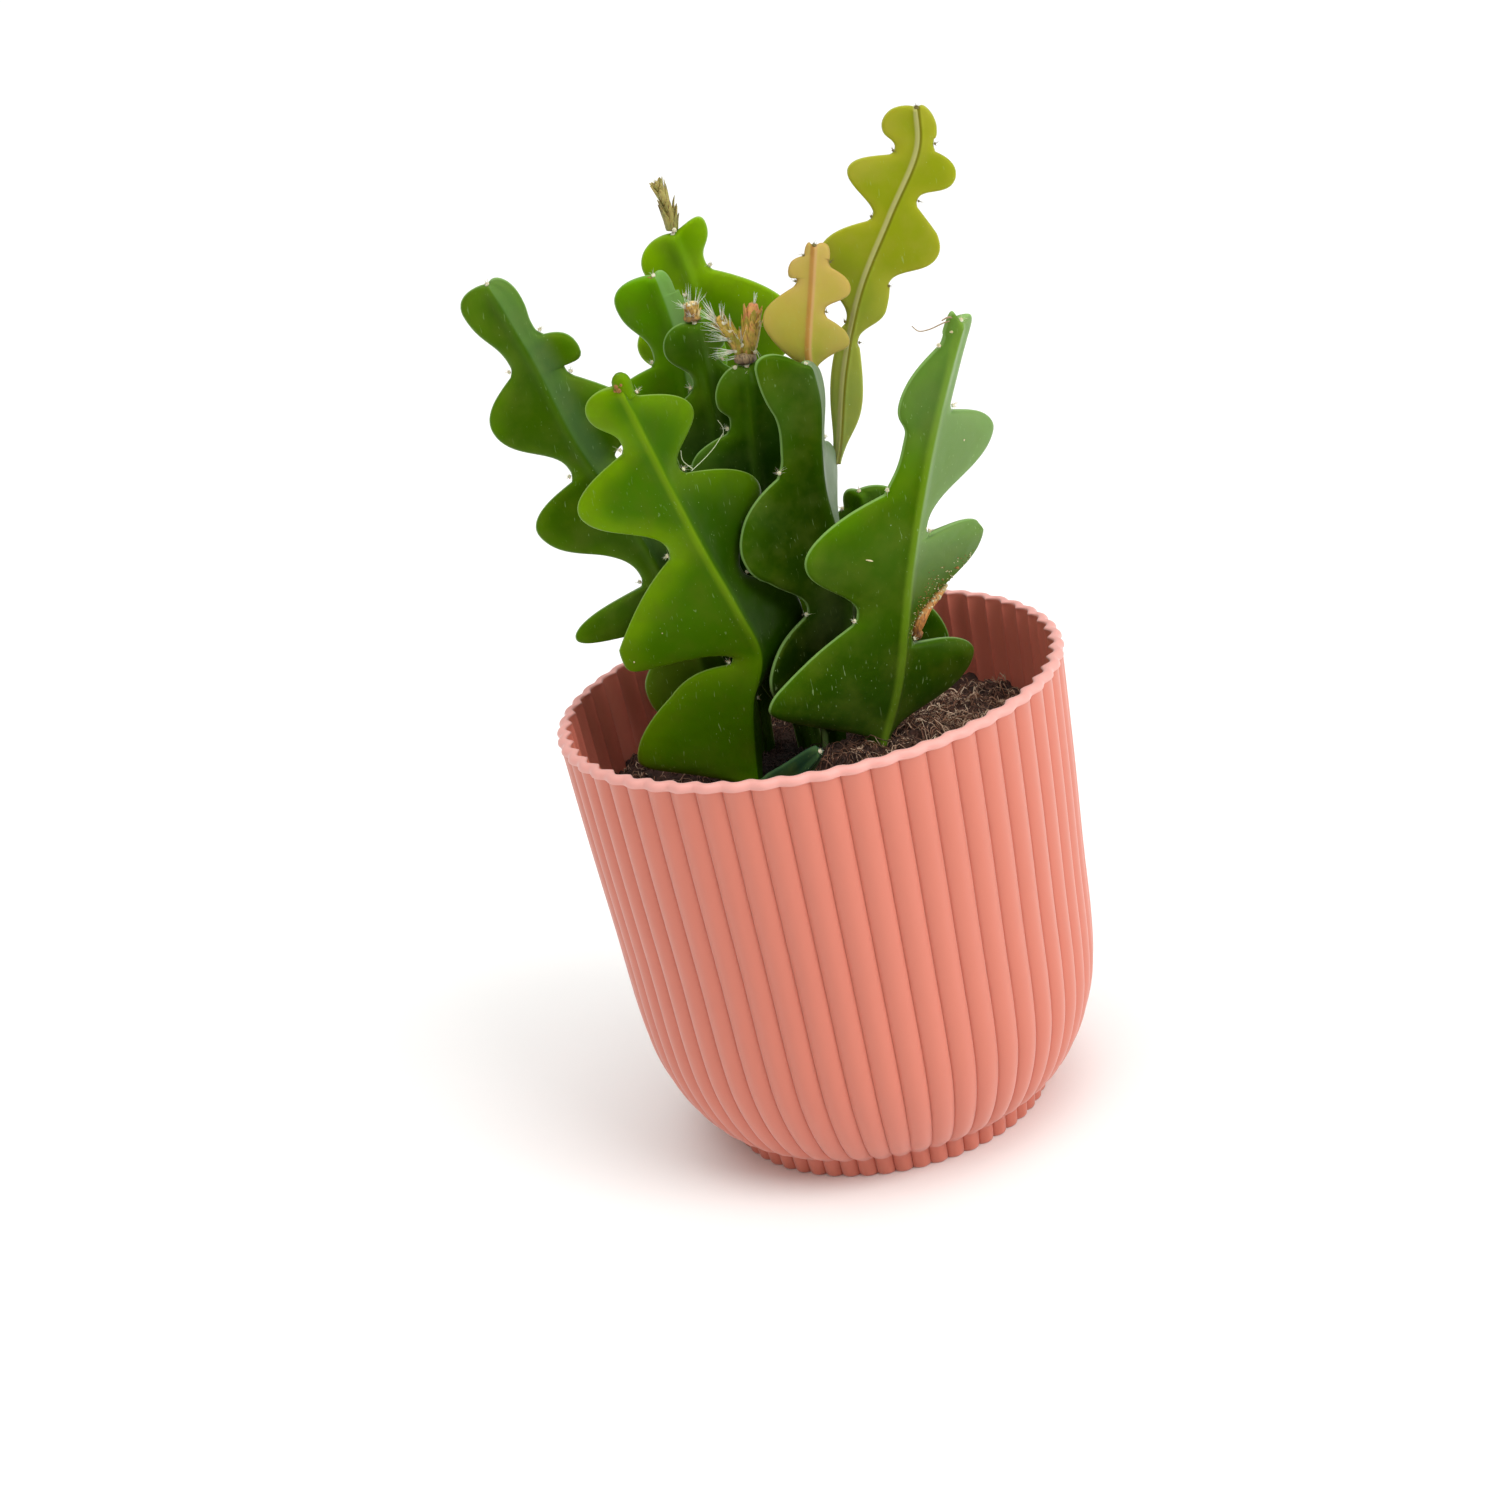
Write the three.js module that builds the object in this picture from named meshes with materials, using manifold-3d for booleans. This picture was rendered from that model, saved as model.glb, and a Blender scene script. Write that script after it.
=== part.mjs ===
// Potted fishbone cactus: a fluted plastic pot, the soil in it, and the flat lobed stems that stand in the soil.
// Millimetres, +Z up. The origin is the middle of the pot's flat underside, and the stems face -Y.

import * as THREE from 'three';
import Module from 'manifold-3d';

const wasm = await Module();
wasm.setup();

// Driving dimensions of the pot
const RIM_RADIUS = 70.6;
const POT_HEIGHT = 131;
const FOOT_RADIUS = 46.8;
const BELLY_RADIUS = 65.9;
const BELLY_HEIGHT = 46;
const FLUTES = 56;
const FLUTE_DEPTH = 1.4;
const FLUTE_TURN = 2.7;
const COLUMNS_PER_FLUTE = 4;
const WALL = 2.4;
const LIP_HEIGHT = 2.6;
const LIP_WAVE = 0.45;
const FLOOR_TOP = 4.5;

// Driving dimensions of the soil
const SOIL_HEIGHT = 104.5;
const SOIL_RADIUS = 63.5;
const MOUND_HEIGHT = 11.3;
const MOUND_RADIUS = 26;
const MOUND_CENTRE = [14, -20];
const SOIL_GAP = 0.4;
const SOIL_RINGS = 6;
const SOIL_COLUMNS = 40;

// Driving dimensions of every stem
const STALK_DEPTH = 20;
const STALK_RADIUS = 3.6;
const SHOOT_RADIUS = 1.4;
const SHOOT_THINNESS = 0.6;
const HOLE_GAP = 0.4;
const BLADE_THICKNESS = 4.2;
const EDGE_THICKNESS = 1.8;
const RIB_HEIGHT = 1.0;
const RIB_HALF_WIDTH = 2.8;
const LOBE_ROUNDING = 5;
const SINUS_LENGTH = 3.5;
const ROW_STEP = 4.4;
const SEAT_GAP = 0.3;

// Driving dimensions of the buds, spines and dried root
const SPINE_RADIUS = 0.3;
const SPINE_FORWARD = 0.75;
const BUD_CORNERS = 8;
const ROOT_CLEARANCE = 0.75;

const COLOURS = {
  plastic: 0xdb8a78,
  soil: 0x4f3626,
  dark_stem: 0x2f5210,
  bright_stem: 0x5f8f12,
  sheen_stem: 0x4c7a2a,
  young_shoot: 0xa9ad34,
  amber_shoot: 0xc2a552,
  golden_bud: 0xb88f3a,
  woolly_bud: 0xcbb98a,
  dried_bud: 0x8f7d43,
  dried_root: 0xb06a2e,
};

const group = new THREE.Group();

function addNode(name, geometry, colour, roughness) {
  geometry.computeVertexNormals();
  const material = new THREE.MeshStandardMaterial({ color: colour, roughness, metalness: 0 });
  const mesh = new THREE.Mesh(geometry, material);
  mesh.name = name;
  group.add(mesh);
}

function meshGeometry(points, triangles) {
  const geometry = new THREE.BufferGeometry();
  geometry.setAttribute('position', new THREE.Float32BufferAttribute(points.flat(), 3));
  geometry.setIndex(triangles.flat());
  return geometry;
}

// A closed skin over rings of points that follow each other, with a middle point at each end
function skin(rings, firstMiddle, lastMiddle) {
  const count = rings[0].length;
  const points = [firstMiddle, ...rings.flat(), lastMiddle];
  const triangles = [];
  for (let k = 0; k < count; k += 1) {
    const next = (k + 1) % count;
    triangles.push([0, 1 + next, 1 + k]);
    for (let row = 0; row + 1 < rings.length; row += 1) {
      const low = 1 + row * count;
      const high = low + count;
      triangles.push([low + k, low + next, high + next]);
      triangles.push([low + k, high + next, high + k]);
    }
    const top = 1 + (rings.length - 1) * count;
    triangles.push([top + k, top + next, points.length - 1]);
  }
  return meshGeometry(points, triangles);
}

function vector(point) {
  return new THREE.Vector3(...point.slice(0, 3));
}

// A corner of the ring round centre, square to axis
function ringPoint(centre, axis, radius, angle) {
  const helper = Math.abs(axis.x) < 0.9 ? new THREE.Vector3(1, 0, 0) : new THREE.Vector3(0, 1, 0);
  const side = helper.addScaledVector(axis, -helper.dot(axis)).normalize();
  const other = axis.clone().cross(side);
  return centre.clone().addScaledVector(side, radius * Math.cos(angle)).addScaledVector(other, radius * Math.sin(angle));
}

// A closed body along points of [x, y, z, radius]
function tapered(points, corners) {
  const rings = points.map((point, index) => {
    const before = vector(points[Math.max(index - 1, 0)]);
    const axis = vector(points[Math.min(index + 1, points.length - 1)]).sub(before).normalize();
    return Array.from({ length: corners }, (_, corner) => {
      const angle = (2 * Math.PI * corner) / corners;
      return ringPoint(vector(point), axis, point[3], angle).toArray();
    });
  });
  return toSolid(skin(rings, points[0].slice(0, 3), points[points.length - 1].slice(0, 3)));
}

function toSolid(geometry) {
  return new wasm.Manifold(new wasm.Mesh({
    numProp: 3,
    vertProperties: Float32Array.from(geometry.attributes.position.array),
    triVerts: Uint32Array.from(geometry.index.array),
  }));
}

function fromSolid(solid) {
  const mesh = solid.getMesh();
  const geometry = new THREE.BufferGeometry();
  geometry.setAttribute('position', new THREE.Float32BufferAttribute(mesh.vertProperties, 3));
  geometry.setIndex(Array.from(mesh.triVerts));
  return geometry;
}

// The pot: each row of the profile is [crest radius, height, share of the flute depth]
const potOutside = [
  [FOOT_RADIUS - 0.4, 0, 1],
  [FOOT_RADIUS + 0.4, 5.5, 1],
  [53.1, 10, 1],
  [57.6, 16, 1],
  [61.5, 24, 1],
  [64.5, 34, 1],
  [BELLY_RADIUS, BELLY_HEIGHT, 1],
  [RIM_RADIUS - 0.4, POT_HEIGHT - LIP_HEIGHT, 1],
  [RIM_RADIUS, POT_HEIGHT - LIP_HEIGHT + 0.6, LIP_WAVE],
  [RIM_RADIUS, POT_HEIGHT - 0.6, LIP_WAVE],
  [RIM_RADIUS - 0.6, POT_HEIGHT, LIP_WAVE],
];
const potInside = [
  [RIM_RADIUS - WALL - 0.5, POT_HEIGHT, 0.8],
  [RIM_RADIUS - WALL - 1, POT_HEIGHT - 1, 1],
  [BELLY_RADIUS - WALL, BELLY_HEIGHT, 1],
  [54, 18, 1],
  [46, 9, 1],
  [38, FLOOR_TOP, 0],
];

function fluteShape(column) {
  const phase = (column % COLUMNS_PER_FLUTE) / COLUMNS_PER_FLUTE;
  return 1 - Math.sqrt(Math.sin(Math.PI * phase));
}

function potRing([radius, height, share]) {
  const columns = FLUTES * COLUMNS_PER_FLUTE;
  return Array.from({ length: columns }, (_, column) => {
    const angle = THREE.MathUtils.degToRad(FLUTE_TURN) + (2 * Math.PI * column) / columns;
    const reach = radius - share * FLUTE_DEPTH * fluteShape(column);
    return [reach * Math.cos(angle), reach * Math.sin(angle), height];
  });
}

const potRings = [...potOutside, ...potInside].map(potRing);
addNode('pot', skin(potRings, [0, 0, 0], [0, 0, FLOOR_TOP]), COLOURS.plastic, 0.55);

// The soil: it fills the pot, and its top is low at the wall and heaped round the right front stem
function soilHeight(x, y) {
  const fromMound = Math.hypot(x - MOUND_CENTRE[0], y - MOUND_CENTRE[1]);
  const mound = MOUND_HEIGHT * Math.exp(-((fromMound / MOUND_RADIUS) ** 2));
  const bumps = 0.5 * Math.sin(x * 0.31 + 1) * Math.cos(y * 0.27) + 0.4 * Math.sin(x * 0.13 - y * 0.19);
  return SOIL_HEIGHT + mound + bumps;
}

function soilSolid() {
  const circle = (radius, height) => Array.from({ length: SOIL_COLUMNS }, (_, column) => {
    const angle = (2 * Math.PI * column) / SOIL_COLUMNS;
    const x = radius * Math.cos(angle);
    const y = radius * Math.sin(angle);
    return [x, y, height ?? soilHeight(x, y)];
  });
  const side = potInside.slice(2).reverse();
  const rings = side.map(([radius, height]) => circle(radius - FLUTE_DEPTH - SOIL_GAP, height + SOIL_GAP));
  for (let ring = 0; ring < SOIL_RINGS; ring += 1) {
    rings.push(circle(SOIL_RADIUS * (1 - ring / SOIL_RINGS)));
  }
  return toSolid(skin(rings, [0, 0, FLOOR_TOP + SOIL_GAP], [0, 0, soilHeight(0, 0)]));
}

// One stem. Its midrib follows path from just over the soil, with a round stalk below it that stands in the
// soil. Its two wings point along the compass angles of wings
// (from +X, the first for the left wing), and each side's outline runs over lobes and notches:
// lobe, notch, lobe, notch ... lobe, each as [distance along the midrib, distance out, sinus length].
class Stem {
  constructor({ path, wings, left, right, stalk = true, thin = 1 }) {
    this.curve = new THREE.CatmullRomCurve3(path.map((point) => new THREE.Vector3(...point)));
    this.curve.arcLengthDivisions = 400;
    this.length = this.curve.getLength();
    this.wings = wings;
    this.stalk = stalk;
    this.thin = thin;
    this.baseRadius = stalk ? STALK_RADIUS : SHOOT_RADIUS;
    this.sides = [this.outline(left), this.outline(right)];
  }

  // Pieces of curve between a lobe's tip, the corner at the spine spot and the bottom of the sinus above it
  outline(marks) {
    const pieces = [];
    let from = [0, this.baseRadius];
    let along = 0;
    marks.forEach((mark, index) => {
      const to = [mark[0], mark[1]];
      const isLobe = index % 2 === 0;
      const gap = Math.max(to[0] - from[0], 0);
      const after = marks[index + 1] ?? [this.length];
      const reached = isLobe
        ? THREE.MathUtils.clamp(mark[0], along + 0.3 * (after[0] - along), after[0] - 0.3 * (after[0] - along))
        : Math.min(mark[0], this.length - 1.2);
      if (isLobe) {
        const handle = Math.max(0.5 * gap, LOBE_ROUNDING * this.thin);
        const start = [from[0] + 0.4 * gap, from[1]];
        pieces.push({ from: along, to: reached, curve: [from, start, [to[0] - handle, to[1]], to] });
      } else {
        const handle = Math.max(0.4 * gap, LOBE_ROUNDING * this.thin);
        const lead = [from[0] + handle, from[1]];
        const arrive = [to[0] + 0.4 * (lead[0] - to[0]), to[1] + 0.4 * (lead[1] - to[1])];
        pieces.push({ from: along, to: reached, curve: [from, lead, arrive, to] });
      }
      from = to;
      along = reached;
      if (!isLobe) {
        const sinus = mark[2] ?? SINUS_LENGTH * this.thin;
        const bottom = [to[0] + sinus, to[1] - 0.9 * this.thin - 0.12 * sinus];
        const middle = [to[0] + 0.5 * sinus, bottom[1]];
        const sinusEnd = Math.min(along + sinus, this.length - 0.6);
        pieces.push({ from: along, to: sinusEnd, curve: [to, middle, middle, bottom] });
        from = bottom;
        along = sinusEnd;
      }
    });
    const tip = [this.length + 0.5, 0.9];
    const over = [from[0] + LOBE_ROUNDING * this.thin, from[1]];
    pieces.push({ from: along, to: this.length, curve: [from, over, [tip[0] + 1, 0.5 * from[1]], tip] });
    return pieces;
  }

  edge(side, along) {
    const pieces = this.sides[side];
    const piece = pieces.find((one) => along <= one.to) ?? pieces[pieces.length - 1];
    const t = THREE.MathUtils.clamp((along - piece.from) / (piece.to - piece.from), 0, 1);
    const weights = [(1 - t) ** 3, 3 * t * (1 - t) ** 2, 3 * t * t * (1 - t), t ** 3];
    return [0, 1].map((axis) => weights.reduce((sum, weight, k) => sum + weight * piece.curve[k][axis], 0));
  }

  // Midrib point, midrib direction, wing directions and outward normals at a distance along the stem
  frameAt(along) {
    const share = THREE.MathUtils.clamp(along / this.length, 0, 1);
    const axis = this.curve.getTangentAt(share);
    const point = this.curve.getPointAt(share).addScaledVector(axis, along - share * this.length);
    const wing = this.wings.map(([atRoot, atTip]) => {
      const angle = THREE.MathUtils.degToRad(THREE.MathUtils.lerp(atRoot, atTip, share));
      const level = new THREE.Vector3(Math.cos(angle), Math.sin(angle), 0);
      return level.addScaledVector(axis, -level.dot(axis)).normalize();
    });
    const normal = [axis.clone().cross(wing[0]), wing[1].clone().cross(axis)];
    const front = normal[0].clone().add(normal[1]).normalize();
    return { point, axis, wing, normal, front };
  }

  place(side, along, out, height) {
    const { point, wing, normal } = this.frameAt(along);
    return point.addScaledVector(wing[side], out).addScaledVector(normal[side], height).toArray();
  }

  // One ring round the blade: edge, rib foot and crest on the front, then the same on the back
  bladeRing(along) {
    const thickness = BLADE_THICKNESS * this.thin;
    const edge = EDGE_THICKNESS * this.thin;
    const { point, front } = this.frameAt(along);
    const half = [0, 1].map((side) => {
      const [edgeAlong, edgeOut] = this.edge(side, along);
      const foot = Math.min(RIB_HALF_WIDTH * this.thin, 0.55 * edgeOut);
      const footAlong = THREE.MathUtils.lerp(along, edgeAlong, foot / edgeOut);
      return [1, -1].map((face) => [
        this.place(side, edgeAlong, edgeOut, face * 0.5 * edge),
        this.place(side, footAlong, foot, face * 0.5 * thickness),
      ]);
    });
    const crest = point.clone().addScaledVector(front, 0.5 * thickness + RIB_HEIGHT * this.thin).toArray();
    const back = point.clone().addScaledVector(front, -0.5 * thickness).toArray();
    const [[leftFront, leftBack], [rightFront, rightBack]] = half;
    return [
      leftFront[0], leftFront[1], crest, rightFront[1], rightFront[0],
      rightBack[0], rightBack[1], back, leftBack[1], leftBack[0],
    ];
  }

  stalkRing(along, radius) {
    const { point, wing, front } = this.frameAt(along);
    const side = wing[1].clone().sub(wing[0]).normalize();
    return Array.from({ length: 10 }, (_, corner) => {
      const angle = Math.PI * (0.9 - corner / 5);
      return point.clone().addScaledVector(side, radius * Math.cos(angle))
        .addScaledVector(front, radius * Math.sin(angle)).toArray();
    });
  }

  rows() {
    const marks = [...this.sides.flat().map((piece) => piece.to), this.stalk ? 3 : 1].sort((a, b) => a - b);
    const step = ROW_STEP * Math.sqrt(this.thin);
    const kept = [0];
    for (const mark of marks) {
      const last = kept[kept.length - 1];
      if (mark - last < 0.4 * step) {
        continue;
      }
      const parts = Math.ceil((mark - last) / step);
      for (let part = 1; part <= parts; part += 1) {
        kept.push(last + ((mark - last) * part) / parts);
      }
    }
    kept[kept.length - 1] = this.length;
    return kept.slice(1);
  }

  geometry() {
    const rings = this.rows().map((along) => this.bladeRing(along));
    const start = this.stalk ? -STALK_DEPTH : 0;
    rings.unshift(this.stalkRing(0, this.baseRadius));
    if (this.stalk) {
      rings.unshift(this.stalkRing(start, 0.75 * this.baseRadius));
    }
    const tip = this.frameAt(this.length + 0.4).point.toArray();
    return skin(rings, this.frameAt(start).point.toArray(), tip);
  }

  // The plain hole that the stalk stands in
  holeSolid() {
    const radius = (STALK_RADIUS + HOLE_GAP) / Math.cos(Math.PI / 10);
    const axis = this.curve.getTangentAt(0);
    const ends = [-STALK_DEPTH - SEAT_GAP, 8].map((along) => this.curve.getPointAt(0).addScaledVector(axis, along));
    return tapered(ends.map((end) => [...end.toArray(), radius]), 10);
  }
}

const stems = {
  stem_front_left: {
    colour: COLOURS.bright_stem,
    path: [[-20, -12, 111.7], [-17, -13, 132], [-12, -14, 146], [-15, -16, 160], [-20, -18, 177], [-27.5, -24, 208],
      [-32, -28, 228]],
    wings: [[168, 168], [58, 32]],
    left: [[3.4, 31.5], [30, 8], [46, 36.2], [70, 9.8], [91, 26], [103, 7.8], [116, 11.5]],
    right: [[10, 6], [20, 4], [38, 21.5], [54, 10], [72, 26], [90, 6.5], [104, 16.4], [116, 4], [120, 3]],
  },
  stem_front_right: {
    colour: COLOURS.sheen_stem,
    path: [[15.5, -18, 116.8], [22, -19, 131], [31.5, -21, 165], [42, -25, 197], [53, -29, 224], [55, -30, 228]],
    wings: [[198, 198], [36, 36]],
    left: [[6.2, 36], [34, 14], [53, 30], [70.5, 9.5, 16], [95, 10.5], [110, 4], [118, 3.4]],
    right: [[21, 29], [27, 6], [56.5, 27], [57.5, 7], [86.5, 24], [93, 7], [116, 5.4]],
  },
  stem_centre: {
    colour: COLOURS.dark_stem,
    path: [[4, 1, 114.2], [5, 1, 122], [9, 1, 134], [13.8, 1, 151], [13.9, 0, 166], [12.6, -1, 183], [13.6, -2, 195],
      [15.6, -3, 208], [15.2, -4, 220.5]],
    wings: [[225, 201], [67, 67]],
    left: [[18, 27], [36, 14], [64, 28.4], [77, 11.6, 7], [110, 14]],
    right: [[28, 20], [52, 8.5], [75, 15], [81.5, 8], [99, 7.8]],
  },
  stem_left: {
    colour: COLOURS.dark_stem,
    path: [[-26, 2, 111.9], [-27, 0, 133], [-28.5, 0, 151], [-36.5, 0, 181], [-48, 0, 210], [-54, 0, 233],
      [-61, 0, 255]],
    wings: [[178, 175], [10, 10]],
    left: [[26, 17], [38, 8], [51, 30], [57, 7], [86, 23], [92.5, 7], [113, 18.5], [124, 7.5], [144, 10]],
    right: [[16, 8], [30, 6], [48, 16], [64, 7], [82, 20], [88, 8], [98, 20], [117, 8], [123, 12.5], [130, 6],
      [142, 5.8]],
  },
  stem_back_left: {
    colour: COLOURS.sheen_stem,
    path: [[-26, 38, 112.5], [-23, 36, 150], [-20, 33, 190], [-17.5, 32, 208], [-17.5, 32, 225], [-19.5, 32, 242.5]],
    wings: [[180, 180], [20, 20]],
    left: [[22, 18], [40, 8], [62, 24], [80, 8], [98, 19], [106, 8], [126, 12.5]],
    right: [[26, 16], [46, 7], [66, 18], [84, 7], [106, 14], [121, 7], [126, 4.6]],
  },
  stem_back: {
    colour: COLOURS.bright_stem,
    path: [[-10, 50, 112], [-8, 48, 150], [-7, 46, 190], [-8, 46, 215], [-9.5, 46, 233], [-12, 46, 250]],
    wings: [[180, 180], [0, 0]],
    left: [[30, 20], [50, 8], [70, 24], [90, 8], [110, 20], [122, 8], [132, 11.5]],
    right: [[24, 18], [44, 8], [64, 22], [84, 8], [106, 26], [125.5, 7], [138, 9.5]],
  },
  stem_middle_left: {
    colour: COLOURS.dark_stem,
    path: [[-16, 22, 112.3], [-14, 21, 150], [-12, 20, 190], [-11, 20, 215], [-11, 20, 230]],
    wings: [[180, 180], [15, 15]],
    left: [[14, 22], [30, 7], [50, 22], [68, 8], [86, 16], [99, 5], [112, 9.6]],
    right: [[18, 12], [40, 7], [58, 14], [74, 6], [96, 11], [105, 6], [113, 7.5]],
  },
  stem_middle: {
    colour: COLOURS.dark_stem,
    path: [[-3, 14, 112.1], [-4, 13, 150], [-3, 12, 175], [-1.5, 11, 200], [0.5, 10, 218]],
    wings: [[182, 182], [5, 5]],
    left: [[20, 10], [36, 6], [52, 18], [64, 8], [79, 18], [88, 7], [98, 9]],
    right: [[20, 9], [36, 6], [50, 12], [66, 7], [94, 19.5], [102, 5, 1]],
  },
  stem_back_right: {
    colour: COLOURS.dark_stem,
    path: [[20, 34, 111.8], [24, 33, 133], [24.5, 32, 157], [24.5, 31, 172]],
    wings: [[178, 178], [5, 5]],
    left: [[16, 14], [30, 6], [46, 12], [56, 6, 1]],
    right: [[13, 20], [30, 6], [54, 12]],
  },
  stem_low: {
    colour: COLOURS.dark_stem,
    path: [[-21, -37, 111.4], [-19, -37.5, 114.6], [-13, -38.3, 117.2], [-6.5, -39, 120.6], [-0.8, -39.4, 125.2]],
    wings: [[185, 185], [5, 5]],
    left: [[9, 5.8]],
    right: [[10, 4.2]],
  },
};

let dugSoil = soilSolid();
const grown = {};
for (const [name, { colour, ...shape }] of Object.entries(stems)) {
  const stem = new Stem(shape);
  grown[name] = stem;
  addNode(name, stem.geometry(), colour, 0.38);
  dugSoil = dugSoil.subtract(stem.holeSolid());
}
addNode('soil', fromSolid(dugSoil), COLOURS.soil, 0.95);

// Two young shoots grow from the centre stem: a tall one from a notch of its right wing, a short one from its tip
const shoots = {
  shoot_tall: {
    colour: COLOURS.young_shoot,
    path: [[20.6, 12.2, 190], [26.1, 13, 211], [34, 13, 231], [45.3, 13, 249], [55.5, 13, 265], [57, 13, 275]],
    wings: [[180, 180], [2, 2]],
    left: [[22, 3.4], [33, 2.4], [50, 13.8], [61, 5], [70, 15.3], [79.5, 6.5], [89, 9.4]],
    right: [[14, 5.8], [28, 3.4], [40, 8.4], [46.5, 7.6, 1], [60, 16.4], [69.5, 6], [77.5, 12.4], [83.5, 4.6],
      [88, 5]],
  },
  shoot_short: {
    colour: COLOURS.amber_shoot,
    path: [[17.1, 1, 220.3], [18.5, 2, 226], [20.7, 4, 234], [24, 6, 246.5]],
    wings: [[180, 180], [3, 3]],
    left: [[1.6, 7], [2.8, 6.6, 0.4], [8.2, 12.2], [16.7, 4.8], [20.7, 6.4], [24.8, 3, 0.4]],
    right: [[3.4, 11], [9.2, 4.8], [16.7, 10.4], [22.2, 5], [25.7, 4.4]],
  },
};
for (const [name, { colour, ...shape }] of Object.entries(shoots)) {
  const shoot = new Stem({ ...shape, stalk: false, thin: SHOOT_THINNESS });
  grown[name] = shoot;
  addNode(name, shoot.geometry(), colour, 0.45);
}

// Spines on all sides of a bud's path, from inside it outwards and a little forwards
function spinesOf(path, count, length) {
  const start = vector(path[0]);
  const reach = vector(path[path.length - 1]).sub(start);
  const axis = reach.clone().normalize();
  return Array.from({ length: count }, (_, index) => {
    const angle = THREE.MathUtils.degToRad(137.5 * index);
    const root = start.clone().addScaledVector(reach, (index + 0.5) / count);
    const outwards = ringPoint(new THREE.Vector3(), axis, 1, angle);
    const way = outwards.addScaledVector(axis, SPINE_FORWARD).normalize();
    const tip = root.clone().addScaledVector(way, length * (index % 2 ? 0.8 : 1));
    return tapered([[...root.toArray(), SPINE_RADIUS], [...tip.toArray(), 0.4 * SPINE_RADIUS]], 3);
  });
}

// Buds at the tips of three stems: each stands on the stem as a stub with scaly swellings, two of them with spines
const driedBud = tapered([[-12, 46, 251.2, 1.5], [-11.8, 46, 254, 2.1], [-12.1, 46, 257.4, 1.6], [-12.6, 46, 260.4, 2],
  [-13.2, 46, 263, 1.6], [-13.7, 46, 265.2, 0.8]], BUD_CORNERS);
const woollyPath = [[-11.3, 20, 231.2, 1.9], [-11, 20, 232.3, 1.7], [-10.6, 20, 235.3, 1.4]];
const woollyBud = wasm.Manifold.union([tapered(woollyPath, BUD_CORNERS), ...spinesOf(woollyPath, 9, 7)]);
const leaningPath = [[0, 10.6, 220.4, 1.3], [-0.8, 10.8, 225, 1.8], [-2.8, 11, 229, 1.7], [-4.7, 11, 232, 1.2]];
const uprightPath = [[1.4, 10.6, 220.4, 1.5], [3, 10.8, 225.5, 2.3], [4.7, 11, 231, 2.1], [5.8, 11, 234.4, 1.3]];
const budPair = wasm.Manifold.union([
  tapered([[0.5, 10.2, 219.1, 2.4], [0.6, 10.4, 220.1, 2.9], [0.7, 10.6, 221.4, 2.5]], BUD_CORNERS),
  tapered(leaningPath, BUD_CORNERS),
  tapered(uprightPath, BUD_CORNERS),
  ...spinesOf(leaningPath, 12, 8),
  ...spinesOf(uprightPath, 8, 6),
]);

// The dried root: it starts in a notch of the right front stem and lies along the lower edge of the lobe above
const rootSpots = [[28, 1.3], [31, 1.5], [34, 1.45], [37.5, 1.1], [41, 0.7]];
const rootHolder = grown.stem_front_right;
const driedRoot = tapered(rootSpots.map(([along, radius]) => {
  const [edgeAlong, edgeOut] = rootHolder.edge(1, along);
  const [nextAlong, nextOut] = rootHolder.edge(1, along + 1);
  const step = Math.hypot(nextAlong - edgeAlong, nextOut - edgeOut);
  const away = (radius + ROOT_CLEARANCE) / step;
  const spot = [edgeAlong - away * (nextOut - edgeOut), edgeOut + away * (nextAlong - edgeAlong)];
  return [...rootHolder.place(1, spot[0], spot[1], 0), radius];
}), BUD_CORNERS);

addNode('bud_dried', fromSolid(driedBud), COLOURS.dried_bud, 0.8);
addNode('bud_woolly', fromSolid(woollyBud), COLOURS.woolly_bud, 0.8);
addNode('bud_pair', fromSolid(budPair), COLOURS.golden_bud, 0.7);
addNode('root_dried', fromSolid(driedRoot), COLOURS.dried_root, 0.8);

export default group;
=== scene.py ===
# A fishbone cactus in a fluted pink pot: flat lobed stems, two young shoots, spiny buds and loose coir.
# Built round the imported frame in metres, +Z up. Sizes are written in millimetres.
import math

import bpy
import numpy as np
from mathutils import Matrix, Vector, noise


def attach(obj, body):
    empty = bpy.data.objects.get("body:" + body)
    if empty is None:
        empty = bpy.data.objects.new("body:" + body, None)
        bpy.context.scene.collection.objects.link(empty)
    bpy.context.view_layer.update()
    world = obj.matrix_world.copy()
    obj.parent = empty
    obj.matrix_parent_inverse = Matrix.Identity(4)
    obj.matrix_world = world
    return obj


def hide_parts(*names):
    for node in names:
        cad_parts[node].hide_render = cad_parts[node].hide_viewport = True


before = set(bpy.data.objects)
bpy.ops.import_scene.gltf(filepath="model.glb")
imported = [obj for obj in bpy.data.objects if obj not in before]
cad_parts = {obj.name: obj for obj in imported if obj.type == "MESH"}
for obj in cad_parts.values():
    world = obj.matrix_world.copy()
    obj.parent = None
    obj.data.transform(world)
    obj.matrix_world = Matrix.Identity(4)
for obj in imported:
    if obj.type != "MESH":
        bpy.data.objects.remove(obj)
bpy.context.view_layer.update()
MM = 0.001


# Pot: a thin-walled indoor pot, injection moulded in one piece from pink polypropylene. The wall is pressed
# into rounded flutes that run from the small foot up to a plain lip, and the inside follows them.
FLUTES = 56
FLUTE_DEPTH = 1.7
LIP_WAVE = 0.9
FIRST_FLUTE_DEG = 2.7
COLUMNS_PER_FLUTE = 12


def linear(hex_colour):
    """The linear colour of an sRGB hex value."""
    parts = [int(hex_colour[k:k + 2], 16) / 255 for k in (0, 2, 4)]
    return (*[p / 12.92 if p <= 0.04045 else ((p + 0.055) / 1.055) ** 2.4 for p in parts], 1.0)


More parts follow.
